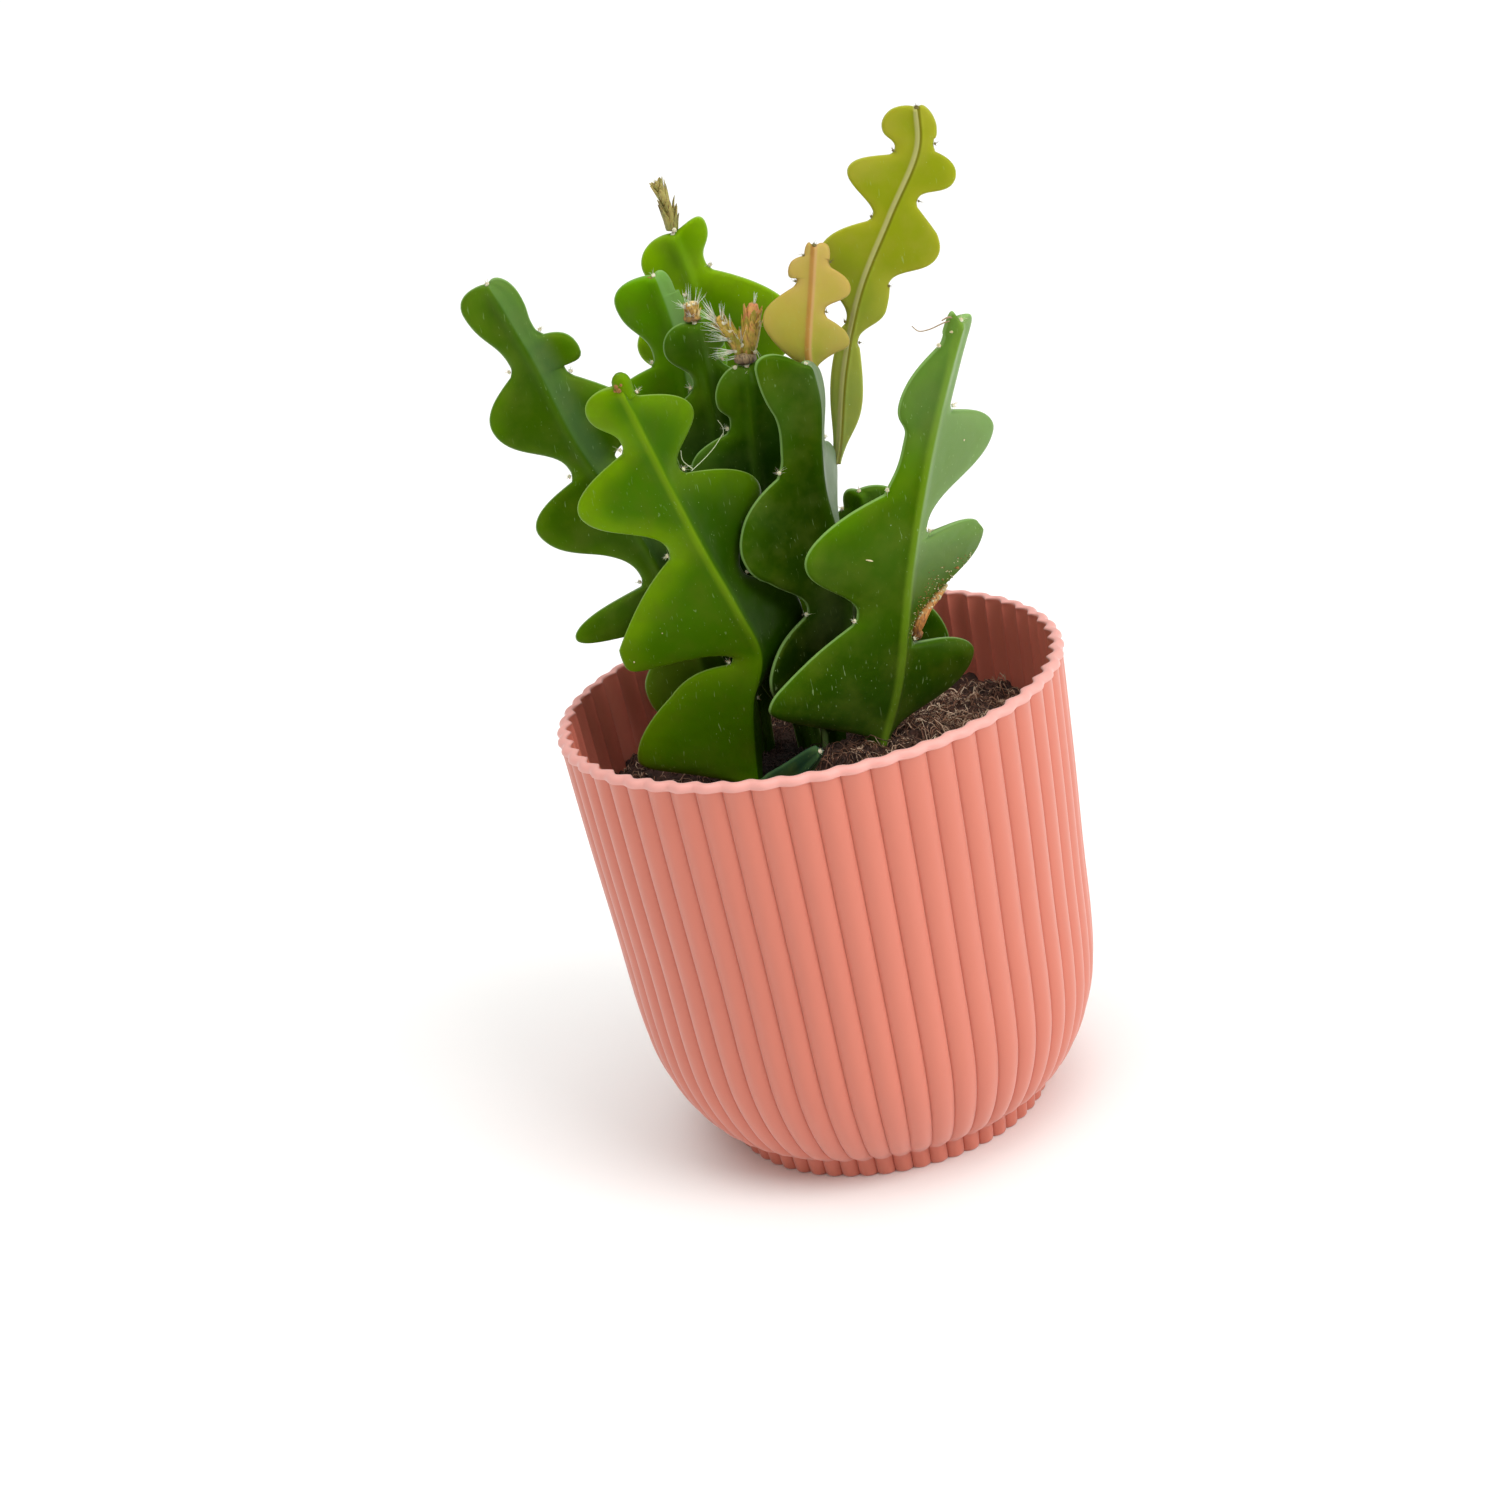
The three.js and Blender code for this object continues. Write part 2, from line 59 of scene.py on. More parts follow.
def connect(node, sockets):
    """Sets a node's sockets: each gets a number, a colour, or a link from a node or one of its outputs."""
    for key, value in sockets.items():
        if isinstance(value, bpy.types.Node):
            value = next(output for output in value.outputs if output.enabled)
        if isinstance(value, bpy.types.NodeSocket):
            node.id_data.links.new(value, node.inputs[key])
        else:
            node.inputs[key].default_value = value


def add(tree, kind, sockets=None, **settings):
    """Adds one shader node with its settings and its sockets."""
    made = tree.nodes.new("ShaderNode" + kind)
    for key, value in settings.items():
        setattr(made, key, value)
    connect(made, sockets or {})
    return made


def new_material(name):
    """A material with a principled shader, and its tree and shader."""
    material = bpy.data.materials.new(name)
    material.use_nodes = True
    return material, material.node_tree, material.node_tree.nodes["Principled BSDF"]


def add_mesh(name, points, faces, material, slot, fields=None, smooth=True):
    """A piece from points in millimetres, with the values per point that its material reads."""
    mesh = bpy.data.meshes.new(name)
    mesh.from_pydata((np.asarray(points, float) * MM).tolist(), [], faces)
    for key, values in (fields or {}).items():
        mesh.attributes.new(key, "FLOAT", "POINT").data.foreach_set("value", np.asarray(values, np.float32))
    mesh.polygons.foreach_set("use_smooth", [smooth] * len(mesh.polygons))
    mesh.materials.append(material)
    made = bpy.data.objects.new(name, mesh)
    bpy.context.scene.collection.objects.link(made)
    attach(made, "root")
    return made


def ring_faces(rings, count, start=0):
    """Faces of a skin over rings of count points, with an end point before the first and after the last."""
    last = start + 1 + rings * count
    faces = []
    for k in range(count):
        nxt = (k + 1) % count
        faces.append((start, start + 1 + nxt, start + 1 + k))
        faces.append((last - count + k, last - count + nxt, last))
    for row in range(rings - 1):
        low = start + 1 + row * count
        for k in range(count):
            nxt = (k + 1) % count
            faces.append((low + k, low + nxt, low + count + nxt, low + count + k))
    return faces


def smooth_path(path, divisions=60):
    """Points along a smooth curve through path, bent the same way as the solids' curves."""
    points = np.array(path, float)
    points = np.vstack([2 * points[0] - points[1], points, 2 * points[-1] - points[-2]])
    parts = []
    for x0, x1, x2, x3 in zip(points, points[1:], points[2:], points[3:]):
        d0, d1, d2 = (np.linalg.norm(b - a) ** 0.5 for a, b in ((x0, x1), (x1, x2), (x2, x3)))
        t1 = ((x1 - x0) / d0 - (x2 - x0) / (d0 + d1) + (x2 - x1) / d1) * d1
        t2 = ((x2 - x1) / d1 - (x3 - x1) / (d1 + d2) + (x3 - x2) / d2) * d1
        t = np.linspace(0, 1, divisions, endpoint=False)[:, None]
        parts.append(x1 + t1 * t + (3 * (x2 - x1) - 2 * t1 - t2) * t ** 2
                     + (2 * (x1 - x2) + t1 + t2) * t ** 3)
    return np.vstack([*parts, points[-2]])


def groove_shape(phase):
    """Depth share at a place across one flute: a gentle round with a narrow crease at each side."""
    round_off = np.sin(np.pi * phase)
    return 1 - 0.5 * round_off - 0.5 * round_off ** 0.4


# Profile rows: radius at the flute's crest, height, share of the sharp groove, share of the lip's soft wave
wall_outside = smooth_path([(46.5, 0.7, 1, 0), (46.9, 3, 1, 0), (47.3, 5.6, 1, 0), (49.4, 7.2, 1, 0),
                            (53.1, 10, 1, 0), (57.6, 16, 1, 0), (61.5, 24, 1, 0), (64.5, 34, 1, 0),
                            (66, 46, 1, 0), (67.2, 70, 1, 0), (68.8, 98, 1, 0), (70.2, 128.5, 1, 0)], 5)
lip = [(70.3, 128.7, 0.9, 0.1), (70.5, 128.8, 0.35, 0.6), (70.75, 129.0, 0, 1), (70.85, 129.35, 0, 1),
       (70.8, 129.8, 0, 1), (70.6, 130.25, 0, 1), (70.25, 130.65, 0, 1), (69.8, 130.92, 0, 1.05),
       (69.2, 131.03, 0, 1.25), (68.6, 130.97, 0, 1.5), (68.25, 130.7, 0.2, 1.45), (68.08, 130.2, 0.6, 0.6),
       (68.0, 129.6, 0.9, 0.1)]
wall_inside = smooth_path([(67.9, 128.6, 1, 0), (66.6, 98, 1, 0), (65.2, 70, 1, 0), (63.6, 46, 1, 0),
                           (61, 33, 1, 0), (57, 22, 1, 0), (50, 11, 1, 0), (40, 5.2, 0.3, 0),
                           (20, 4.5, 0, 0)], 4)
pot_profile = [(44, 0, 0.5, 0), (46.1, 0.1, 0.9, 0), *wall_outside, *lip, *wall_inside]

flute_phase = 0.5 - 0.5 * np.cos(np.pi * np.arange(COLUMNS_PER_FLUTE) / COLUMNS_PER_FLUTE)
groove = np.tile(groove_shape(flute_phase), FLUTES)
lip_wave = np.tile((0.5 + 0.5 * np.cos(2 * np.pi * flute_phase)) ** 1.2, FLUTES)
pot_angle = math.radians(FIRST_FLUTE_DEG) + 2 * np.pi * (
    np.repeat(np.arange(FLUTES), COLUMNS_PER_FLUTE) + np.tile(flute_phase, FLUTES)) / FLUTES
pot_points = [(0, 0, 0)]
for radius, height, groove_share, wave_share in pot_profile:
    reach = radius - groove_share * FLUTE_DEPTH * groove - wave_share * LIP_WAVE * lip_wave
    pot_points += list(zip(reach * np.cos(pot_angle), reach * np.sin(pot_angle), np.full(len(reach), height)))
pot_points.append((0, 0, 4.5))

# Moulded polypropylene: an even matte pink, hardly rougher in one place than another, with a fine eggshell
# grain. The lip is painted paler as a painted highlight from the light above, and the inside is painted
# lighter as painted fill light in its shade.
polypropylene, tree, shader = new_material("moulded_polypropylene_pink")
place = add(tree, "TexCoord").outputs["Object"]
inside_fill_share = add(tree, "Attribute", attribute_name="inside").outputs["Fac"]
lip_highlight_share = add(tree, "Attribute", attribute_name="lip").outputs["Fac"]
cloud = add(tree, "TexNoise", {"Vector": place, "Scale": 1 / (60 * MM)})
body = add(tree, "Mix", {0: cloud, "A": linear("C76E59"), "B": linear("CD745F")}, data_type="RGBA")
# Painted fill light: the inside is painted lighter than the outside so that its shade is less deep
body = add(tree, "Mix", {0: inside_fill_share, "A": body, "B": linear("DC7A66")}, data_type="RGBA")
# Painted highlight: the lip is paler where it catches the light from above
body = add(tree, "Mix", {0: lip_highlight_share, "A": body, "B": linear("DE9C92")}, data_type="RGBA")
grain = add(tree, "TexNoise", {"Vector": place, "Scale": 1 / (0.6 * MM)})
grain_bump = add(tree, "Bump", {"Height": grain, "Strength": 0.12, "Distance": 0.06 * MM})
connect(shader, {"Base Color": body, "Normal": grain_bump, "Roughness": 0.48, "IOR": 1.49,
                 "Sheen Weight": 0.28, "Sheen Roughness": 0.45, "Subsurface Weight": 0.04,
                 "Subsurface Radius": (1.0, 0.45, 0.35), "Subsurface Scale": 1.2 * MM})
# Inside, where nobody touches it, the same plastic has no dusty sheen
inside_plastic = polypropylene.copy()
inside_plastic.name = "moulded_polypropylene_inside"
connect(inside_plastic.node_tree.nodes["Principled BSDF"], {"Sheen Weight": 0.0})

first_lip, last_lip = 2 + len(wall_outside), 2 + len(wall_outside) + len(lip)
on_lip = [1.0 if first_lip + 1 < row < last_lip - 2 else 0.0 for row in range(len(pot_profile))]
is_inside = [1.0 if row >= last_lip - 2 else 0.0 for row in range(len(pot_profile))]
columns = len(pot_angle)
pot = add_mesh("fluted_pot", pot_points, ring_faces(len(pot_profile), columns), polypropylene, "pot_plastic",
               {"lip": [0.0, *np.repeat(on_lip, columns), 0.0],
                "inside": [0.0, *np.repeat(is_inside, columns), 1.0]})
pot.data.materials.append(inside_plastic)
face_rows = [0, len(pot_profile)] * columns + list(np.repeat(np.arange(len(pot_profile) - 1), columns))
pot.data.polygons.foreach_set("material_index", [int(row >= last_lip - 2) for row in face_rows])
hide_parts("pot")


# Soil: loose coir potting mix, filled in by hand to 26 mm under the rim and heaped round the right front
# stem. Crumbs and chips of husk, with curly tan fibres that stick out all over.
SOIL_HEIGHT = 104.5
MOUND_HEIGHT = 11.3
MOUND_RADIUS = 26.0
MOUND_CENTRE = (14.0, -20.0)
# Clods: x, y, reach, rise
CLODS = [(3, -22, 7, 2.4), (28, -12.5, 7, 5.0), (45, 6, 8, 1.6)]
SOIL_COLUMNS = 448
SOIL_RINGS = 96
SOIL_REACH = 64.0
# Radius of the pot's inside at a height, in the straight part of the wall, and its widening per millimetre
WALL_AT = (66.6, 98.0)
WALL_WIDENING = 0.042
random = np.random.default_rng(7)


def soil_height(x, y):
    """Height of the soil in the solid, without its crumbs."""
    from_mound = np.hypot(x - MOUND_CENTRE[0], y - MOUND_CENTRE[1])
    mound = MOUND_HEIGHT * np.exp(-((from_mound / MOUND_RADIUS) ** 2))
    waves = 0.5 * np.sin(x * 0.31 + 1) * np.cos(y * 0.27) + 0.4 * np.sin(x * 0.13 - y * 0.19)
    return SOIL_HEIGHT + mound + waves


def crumbs(x, y):
    """Rise of the clods and crumbs at a spot, in millimetres."""
    heaps = sum(rise * math.exp(-((x - hx) ** 2 + (y - hy) ** 2) / reach ** 2)
                for hx, hy, reach, rise in CLODS)
    coarse = noise.fractal(Vector((x / 5.5, y / 5.5, 0.3)), 1.0, 2.0, 3)
    fine = noise.fractal(Vector((x / 1.9, y / 1.9, 4.1)), 0.7, 2.1, 3)
    return heaps + 1.9 * coarse + 0.9 * fine


def surface(x, y):
    """Height of the top of the soil, crumbs and all."""
    return soil_height(x, y) + crumbs(x, y)


def shade_between_stems(x, y):
    """Share of painted shade at a spot: the soil and fibres are painted dark in the shade between the stems.
    """
    return math.exp(-((x + 8) / 24) ** 2 - ((y - 2) / 24) ** 2)


def wall_reach(angle, height):
    """Radius of the pot's inside at an angle and a height near the rim."""
    crest = WALL_AT[0] + (height - WALL_AT[1]) * WALL_WIDENING
    phase = ((angle - math.radians(FIRST_FLUTE_DEG)) * FLUTES / (2 * math.pi)) % 1.0
    return crest - FLUTE_DEPTH * groove_shape(phase)


# Rings under the surface, just inside the pot's wall, and then rings over the surface from the wall inwards
soil_points = [(0, 0, 5.4)]
column_angle = 2 * np.pi * np.arange(SOIL_COLUMNS) / SOIL_COLUMNS
rings_below = [(36, 5.8), (46, 11), (55, 22), (60, 38), (63.3, 70)]
for radius, height in rings_below:
    soil_points += [(radius * math.cos(a), radius * math.sin(a), height) for a in column_angle]
for ring in range(SOIL_RINGS):
    share = 1 - ring / SOIL_RINGS
    for a in column_angle:
        reach = share * (wall_reach(a, SOIL_HEIGHT) - 0.15)
        x, y = reach * math.cos(a), reach * math.sin(a)
        soil_points.append((x, y, surface(x, y)))
soil_points.append((0, 0, surface(0, 0)))

# Coir pith: a dull, rough brown in darker and lighter blotches with paler dry crumbs about 1 mm across,
# painted near black as painted shade between the stems
coir, tree, shader = new_material("coir_potting_mix")
place = add(tree, "TexCoord").outputs["Object"]
painted_shade_mask = add(tree, "Attribute", attribute_name="shade_between_stems").outputs["Fac"]
blotch = add(tree, "TexNoise", {"Vector": place, "Scale": 1 / (4 * MM), "Detail": 4.0, "Roughness": 0.7})
crumb = add(tree, "TexVoronoi", {"Vector": place, "Scale": 1 / (1.1 * MM)})
brown = add(tree, "ValToRGB", {"Fac": blotch})
brown.color_ramp.elements[0].position, brown.color_ramp.elements[0].color = 0.32, linear("150B07")
brown.color_ramp.elements[1].position, brown.color_ramp.elements[1].color = 0.72, linear("5E3626")
speck = add(tree, "Mix", {0: crumb, "A": brown, "B": linear("301C13")}, data_type="RGBA")
# Painted shade: the soil between the stems is painted near black
painted_shade_share = add(tree, "MapRange", {"Value": painted_shade_mask, "From Min": 0.3, "From Max": 0.8, "To Max": 0.85})
ground = add(tree, "Mix", {0: painted_shade_share, "A": speck, "B": linear("120C08")}, data_type="RGBA")
crumb_bump = add(tree, "Bump", {"Height": crumb, "Strength": 0.7, "Distance": 0.6 * MM})
connect(shader, {"Base Color": ground, "Normal": crumb_bump, "Roughness": 0.95})

soil = add_mesh("coir_soil", soil_points, ring_faces(SOIL_RINGS + len(rings_below), SOIL_COLUMNS), coir,
                "soil", {"shade_between_stems": [shade_between_stems(x, y) for x, y, _ in soil_points]})
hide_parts("soil")


def tube(points, radii, sides):
    """Points and faces of a thin closed tube along points in millimetres."""
    points = np.asarray(points, float)
    way = np.gradient(points, axis=0)
    way /= np.linalg.norm(way, axis=1)[:, None] + 1e-9
    helper = np.where(np.abs(way[:, [2]]) < 0.9, [[0.0, 0.0, 1.0]], [[1.0, 0.0, 0.0]])
    across = np.cross(helper, way)
    across /= np.linalg.norm(across, axis=1)[:, None]
    other = np.cross(way, across)
    made = [points[0]]
    for point, radius, a, b in zip(points, radii, across, other):
        for k in range(sides):
            turn = 2 * math.pi * k / sides
            made.append(point + radius * (math.cos(turn) * a + math.sin(turn) * b))
    made.append(points[-1])
    return made, ring_faces(len(points), sides)


def bundle(parts):
    """Points and faces of many small bodies as one mesh, and their values per point if they have them."""
    points, faces = [], []
    for part_points, part_faces, *_ in parts:
        shift = len(points)
        points += [tuple(p) for p in part_points]
        faces += [tuple(shift + k for k in face) for face in part_faces]
    if len(parts[0]) == 2:
        return points, faces
    return points, faces, np.concatenate([part[2] for part in parts])


def fibre(x, y, length, radius, lift):
    """One curly coir fibre that wanders over the soil from a spot, with one tone for its whole length, darker
    as painted shade between the stems.
    """
    heading, bend, rise = random.uniform(0, 2 * math.pi), random.normal(0, 0.3), random.uniform(0.3, 1.0)
    hops = random.uniform(0.8, 2.2)
    steps = max(7, int(length / 0.9))
    path = []
    for step in range(steps):
        share = step / (steps - 1)
        hop = abs(math.sin(math.pi * share * hops)) ** 0.8
        path.append((x, y, surface(x, y) - 0.3 + lift * rise * hop + random.normal(0, 0.1)))
        heading += bend + random.normal(0, 0.3)
        bend += random.normal(0, 0.08)
        x, y = x + length / steps * math.cos(heading), y + length / steps * math.sin(heading)
        from_middle = math.hypot(x, y)
        if from_middle > SOIL_REACH:
            x, y = x * (SOIL_REACH - 0.4) / from_middle, y * (SOIL_REACH - 0.4) / from_middle
    points, faces = tube(path, np.linspace(radius, 0.55 * radius, steps), 3)
    # Painted shade: fibres that end between the stems are darker
    return points, faces, [random.uniform(0, 1) - 1.2 * shade_between_stems(x, y)] * len(points)


short_fibres = []
for _ in range(1900):
    spot = SOIL_REACH * math.sqrt(random.uniform(0, 1))
    turn = random.uniform(0, 2 * math.pi)
    short_fibres.append(fibre(spot * math.cos(turn), spot * math.sin(turn), random.uniform(4, 11),
                              random.uniform(0.1, 0.2), random.uniform(0.6, 2.6)))
# The longer ones lie where the soil shows, between the front stems and the wall
long_fibres = []
for _ in range(1000):
    spot, turn = random.uniform(18, 63), random.uniform(-2.2, 0.7)
    long_fibres.append(fibre(spot * math.cos(turn), spot * math.sin(turn), random.uniform(6, 16),
                             random.uniform(0.12, 0.24), random.uniform(1.6, 4.4)))

# Coir fibre: dry husk threads, each with its own tone from red-brown to tan, darker as painted shade between
# the stems, and a weak straw shine
husk, tree, shader = new_material("coir_husk_fibre")
place = add(tree, "TexCoord").outputs["Object"]
own_shade = add(tree, "Attribute", attribute_name="shade").outputs["Fac"]
blotch = add(tree, "TexNoise", {"Vector": place, "Scale": 1 / (6 * MM)})
shift = add(tree, "MapRange", {"Value": blotch, "From Min": 0.3, "From Max": 0.7, "To Min": -0.2,
                               "To Max": 0.2})
shade = add(tree, "Math", {0: own_shade, 1: shift}, operation="ADD")
tan = add(tree, "ValToRGB", {"Fac": shade})
tan.color_ramp.elements[0].position, tan.color_ramp.elements[0].color = 0.1, linear("3A2217")
tan.color_ramp.elements[1].position, tan.color_ramp.elements[1].color = 0.98, linear("DFC4A8")
tan.color_ramp.elements.new(0.55).color = linear("8E6248")
connect(shader, {"Base Color": tan, "Roughness": 0.7})
for name, fibres in (("coir_fibres_short", short_fibres), ("coir_fibres_long", long_fibres)):
    points, faces, shades = bundle(fibres)
    add_mesh(name, points, faces, husk, "soil", {"shade": shades})


# Stems: ten flat leafless stems of a fishbone cactus, each rooted in the soil. A raised midrib carries two
# fleshy wings cut into rounded lobes, waxy on both faces, with a woolly spine spot in every notch.
STALK_RADIUS = 3.6
BLADE_THICKNESS = 4.2
EDGE_THICKNESS = 1.8
RIB_HEIGHT = 1.0
RIB_HALF_WIDTH = 2.8
RIM_WIDTH = 1.7
TIP_ROUNDING = 2.0
ARCH_REACH = 22.0
LOBE_ROUNDING = 5.0
SINUS_LENGTH = 3.5
ROW_STEP = 0.65
BURIED = 14.0
FOOT_SWELLING = 0.55
FOOT_HEIGHT = 4.0


class Blade:
    """One stem: a midrib curve, two wings along compass angles and a lobed outline on each side."""

    def __init__(self, path, wings, left, right, base=STALK_RADIUS, thin=1.0, wave=0.8, crown=(1, 1),
                 seed=0.0):
        dense = smooth_path(path, 120)
        steps = np.linalg.norm(np.diff(dense, axis=0), axis=1)
        self.dense_along = np.concatenate([[0], np.cumsum(steps)])
        self.length = self.dense_along[-1]
        self.dense = dense
        way = np.gradient(dense, self.dense_along, axis=0)
        self.way = way / np.linalg.norm(way, axis=1)[:, None]
        self.wings, self.base, self.thin, self.wave, self.seed = wings, base, thin, wave, seed
        self.notches = [side[1::2] for side in (left, right)]
        self.marks = [[mark[0] for mark in side] for side in (left, right)]
        self.sides = [self.outline(left, crown[0]), self.outline(right, crown[1])]

    def outline(self, marks, crown):
        """Pieces of curve over the lobes and notches: (from, to, four control points).

        Marks take turns as the widest point of a lobe and the notch above it: distance along, distance out
        and, for a notch, its own length if it isn't the usual one. The last lobe bulges crown millimetres
        past the tip.
        """
        pieces, start, along = [], (0.0, self.base), 0.0
        rounding = LOBE_ROUNDING * self.thin
        for index, mark in enumerate(marks):
            end = (float(mark[0]), float(mark[1]))
            gap = max(end[0] - start[0], 0)
            if index % 2 == 0:
                after = marks[index + 1][0] if index + 1 < len(marks) else self.length
                margin = 0.3 * (after - along)
                reached = min(max(mark[0], along + margin), after - margin)
                handle = max(0.5 * gap, rounding)
                curve = (start, (start[0] + 0.4 * gap, start[1]), (end[0] - handle, end[1]), end)
            else:
                reached = min(mark[0], self.length - 1.2)
                lead = (start[0] + max(0.4 * gap, rounding), start[1])
                curve = (start, lead,
                         (end[0] + 0.4 * (lead[0] - end[0]), end[1] + 0.4 * (lead[1] - end[1])), end)
            pieces.append((along, reached, curve))
            start, along = end, reached
            if index % 2:
                sinus = mark[2] if len(mark) > 2 else SINUS_LENGTH * self.thin
                bottom = (end[0] + sinus, end[1] - 0.9 * self.thin - 0.12 * sinus)
                middle = (end[0] + 0.5 * sinus, bottom[1])
                sinus_end = min(along + sinus, self.length - 0.6)
                pieces.append((along, sinus_end, (end, middle, middle, bottom)))
                start, along = bottom, sinus_end
        tip = (self.length + 0.5, 0.9)
        pieces.append((along, self.length,
                       (start, (start[0] + rounding, start[1]), (tip[0] + crown, 0.5 * start[1]), tip)))
        return pieces

    def edge(self, side, along):
        """(distance along the midrib, distance out) of the outline for a row at a distance along."""
        pieces = self.sides[side]
        piece = next((one for one in pieces if along <= one[1]), pieces[-1])
        t = min(max((along - piece[0]) / (piece[1] - piece[0]), 0), 1)
        weights = ((1 - t) ** 3, 3 * t * (1 - t) ** 2, 3 * t * t * (1 - t), t ** 3)
        return tuple(sum(w * p[axis] for w, p in zip(weights, piece[2])) for axis in (0, 1))

    def frame_at(self, along):
        """Midrib points, directions, wing directions, wing normals and the front, at distances along."""
        along = np.atleast_1d(np.asarray(along, float))
        inside = np.clip(along, 0, self.length)
        point = np.stack([np.interp(inside, self.dense_along, self.dense[:, k]) for k in range(3)], 1)
        axis = np.stack([np.interp(inside, self.dense_along, self.way[:, k]) for k in range(3)], 1)
        axis /= np.linalg.norm(axis, axis=1)[:, None]
        point = point + axis * (along - inside)[:, None]
        share = inside / self.length
        wing = []
        for at_root, at_tip in self.wings:
            angle = np.radians(at_root + (at_tip - at_root) * share)
            level = np.stack([np.cos(angle), np.sin(angle), 0 * angle], 1)
            level -= axis * np.sum(level * axis, 1)[:, None]
            wing.append(level / np.linalg.norm(level, axis=1)[:, None])
        normal = [np.cross(axis, wing[0]), np.cross(wing[1], axis)]
        front = normal[0] + normal[1]
        return point, axis, wing, normal, front / np.linalg.norm(front, axis=1)[:, None]

    def place(self, side, along, out, height):
        """Points of the blade for arrays of distance along, distance out and height off its middle plane."""
        out, height = np.asarray(out, float), np.asarray(height, float)
        point, _, wing, normal, front = self.frame_at(along)
        turn = np.clip(out / (RIB_HALF_WIDTH * self.thin), 0, 1)
        turn = (turn * turn * (3 - 2 * turn))[:, None]
        up = front * (1 - turn) + normal[side] * turn
        up /= np.linalg.norm(up, axis=1)[:, None]
        lobes = np.interp(along, [0, *self.marks[side]],
                          [(k % 2) - 0.5 for k in range(len(self.marks[side]) + 1)])
        arch = self.wave * (np.sin(np.pi * lobes) + 0.4 * np.sin(np.asarray(along) / 11 + self.seed))
        height = height + arch * np.clip(out / ARCH_REACH, 0, 1) ** 1.5
        return point + wing[side] * out[:, None] + up * height[:, None]

    def half_thickness(self, out, edge_out):
        """Half the thickness of a wing at a distance out, from the fleshy middle to the thinner edge."""
        share = out / edge_out
        flat = 0.5 * self.thin * (BLADE_THICKNESS + (EDGE_THICKNESS - BLADE_THICKNESS) * share)
        return flat + 0.28 * self.thin * np.sin(np.pi * share)

    def on_skin(self, side, along, out, lift=0.0):
        """A spot on the front skin, lift millimetres off it, from its distances along and out."""
        edge_out = max(self.edge(side, along)[1], out + 0.3)
        return self.place(side, np.array([along]), np.array([out]),
                          np.array([self.half_thickness(out, edge_out) + lift]))[0]

    def rounded_edges(self, side, rows):
        """Outline points for all rows, with the broad lobes rounded off and the notches left sharp."""
        edges = np.array([self.edge(side, max(row, 0)) for row in rows])
        for _ in range(10):
            softer = edges.copy()
            softer[1:-1] = 0.25 * edges[:-2] + 0.5 * edges[1:-1] + 0.25 * edges[2:]
            share = np.clip((edges[:, [1]] - 14) / 8, 0, 1)
            edges = edges + share * (softer - edges)
        return edges

    def rows(self):
        """Distances along the midrib of the rings: closer where the outline runs outwards, with one at each
        end of its pieces, and a few under the soil."""
        ends = sorted({p[1] for side in self.sides for p in side})
        rows = [0.0]
        for end in ends:
            if end - rows[-1] > 0.25:
                spots = np.array([[self.edge(side, along) for along in np.linspace(rows[-1] + 0.01, end, 12)]
                                  for side in (0, 1)])
                travel = np.linalg.norm(np.diff(spots, axis=1), axis=2).sum(1).max()
                count = math.ceil(max((end - rows[-1]) / (ROW_STEP * self.thin ** 0.5), travel / 0.9))
                rows += list(np.linspace(rows[-1], end, count + 1)[1:])
        rows[-1] = self.length
        buried = [-BURIED, -0.6 * BURIED, -0.3 * BURIED, -1.0] if self.base == STALK_RADIUS else [-0.4]
        return buried + rows

    def mesh(self):
        """Points, faces and fields of the whole blade."""
        points, fields = [], {"edge": [], "rib": [], "along": [], "side": [], "back": []}
        rows = self.rows()
        outlines = [self.rounded_edges(side, rows) for side in (0, 1)]
        for number, row in enumerate(rows):
            rooted = self.base == STALK_RADIUS
            thick = 1 + FOOT_SWELLING * math.exp(-max(row, 0) / FOOT_HEIGHT) * rooted
            from_tip = min((self.length + 0.15 - row) / (TIP_ROUNDING * self.thin), 1)
            tip_round = math.sqrt(1 - (1 - from_tip) ** 2)
            half = {}
            for side in (0, 1):
                edge_along, edge_out = outlines[side][number]
                edge_along += min(row, 0)
                rib = min(RIB_HALF_WIDTH * self.thin, 0.45 * edge_out)
                rim = min(RIM_WIDTH * self.thin, 0.4 * edge_out)
                out = np.concatenate([rib * np.array([0, 0.22, 0.45, 0.7, 1]),
                                      np.linspace(rib, edge_out - rim, 6)[1:],
                                      edge_out - rim * np.array([0.62, 0.34, 0.14, 0.03, 0])])
                share = out / edge_out
                round_off = np.clip((edge_out - out) / rim, 0, 1)
                flat = thick * self.half_thickness(out, edge_out) * np.sqrt(1 - (1 - round_off) ** 2)
                crest = RIB_HEIGHT * self.thin * (0.5 + 0.5 * np.cos(np.pi * np.clip(out / rib, 0, 1)))
                along = row + (edge_along - row) * share
                front, back = (flat + crest) * tip_round, (-flat - 0.3 * crest) * tip_round
                half[side] = [self.place(side, along, out, front), self.place(side, along, out, back),
                              edge_out - out, out]
            left, right = half[0], half[1]
            ring = [left[0][::-1], right[0][1:], right[1][-2::-1], left[1][1:-1]]
            points.append(np.vstack(ring))
            for key, index in (("edge", 2), ("rib", 3)):
                fields[key].append(np.concatenate([left[index][::-1], right[index][1:], right[index][-2::-1],
                                                   left[index][1:-1]]))
            count = [len(part) for part in ring]
            fields["along"].append(np.full(sum(count), max(row, 0) / self.length))
            fields["side"].append(np.concatenate([np.zeros(count[0]), np.ones(count[1] + count[2]),
                                                  np.zeros(count[3])]))
            fields["back"].append(np.concatenate([np.zeros(count[0] + count[1]),
                                                  np.ones(count[2] + count[3])]))
        size = len(points[0])
        first = self.frame_at(rows[0])[0]
        last = self.frame_at(self.length + 0.4)[0]
        points = np.vstack([first, *points, last])
        fields = {key: np.concatenate([[v[0][0]], *v, [v[-1][0]]]) for key, v in fields.items()}
        return points, ring_faces(len(rows), size), fields


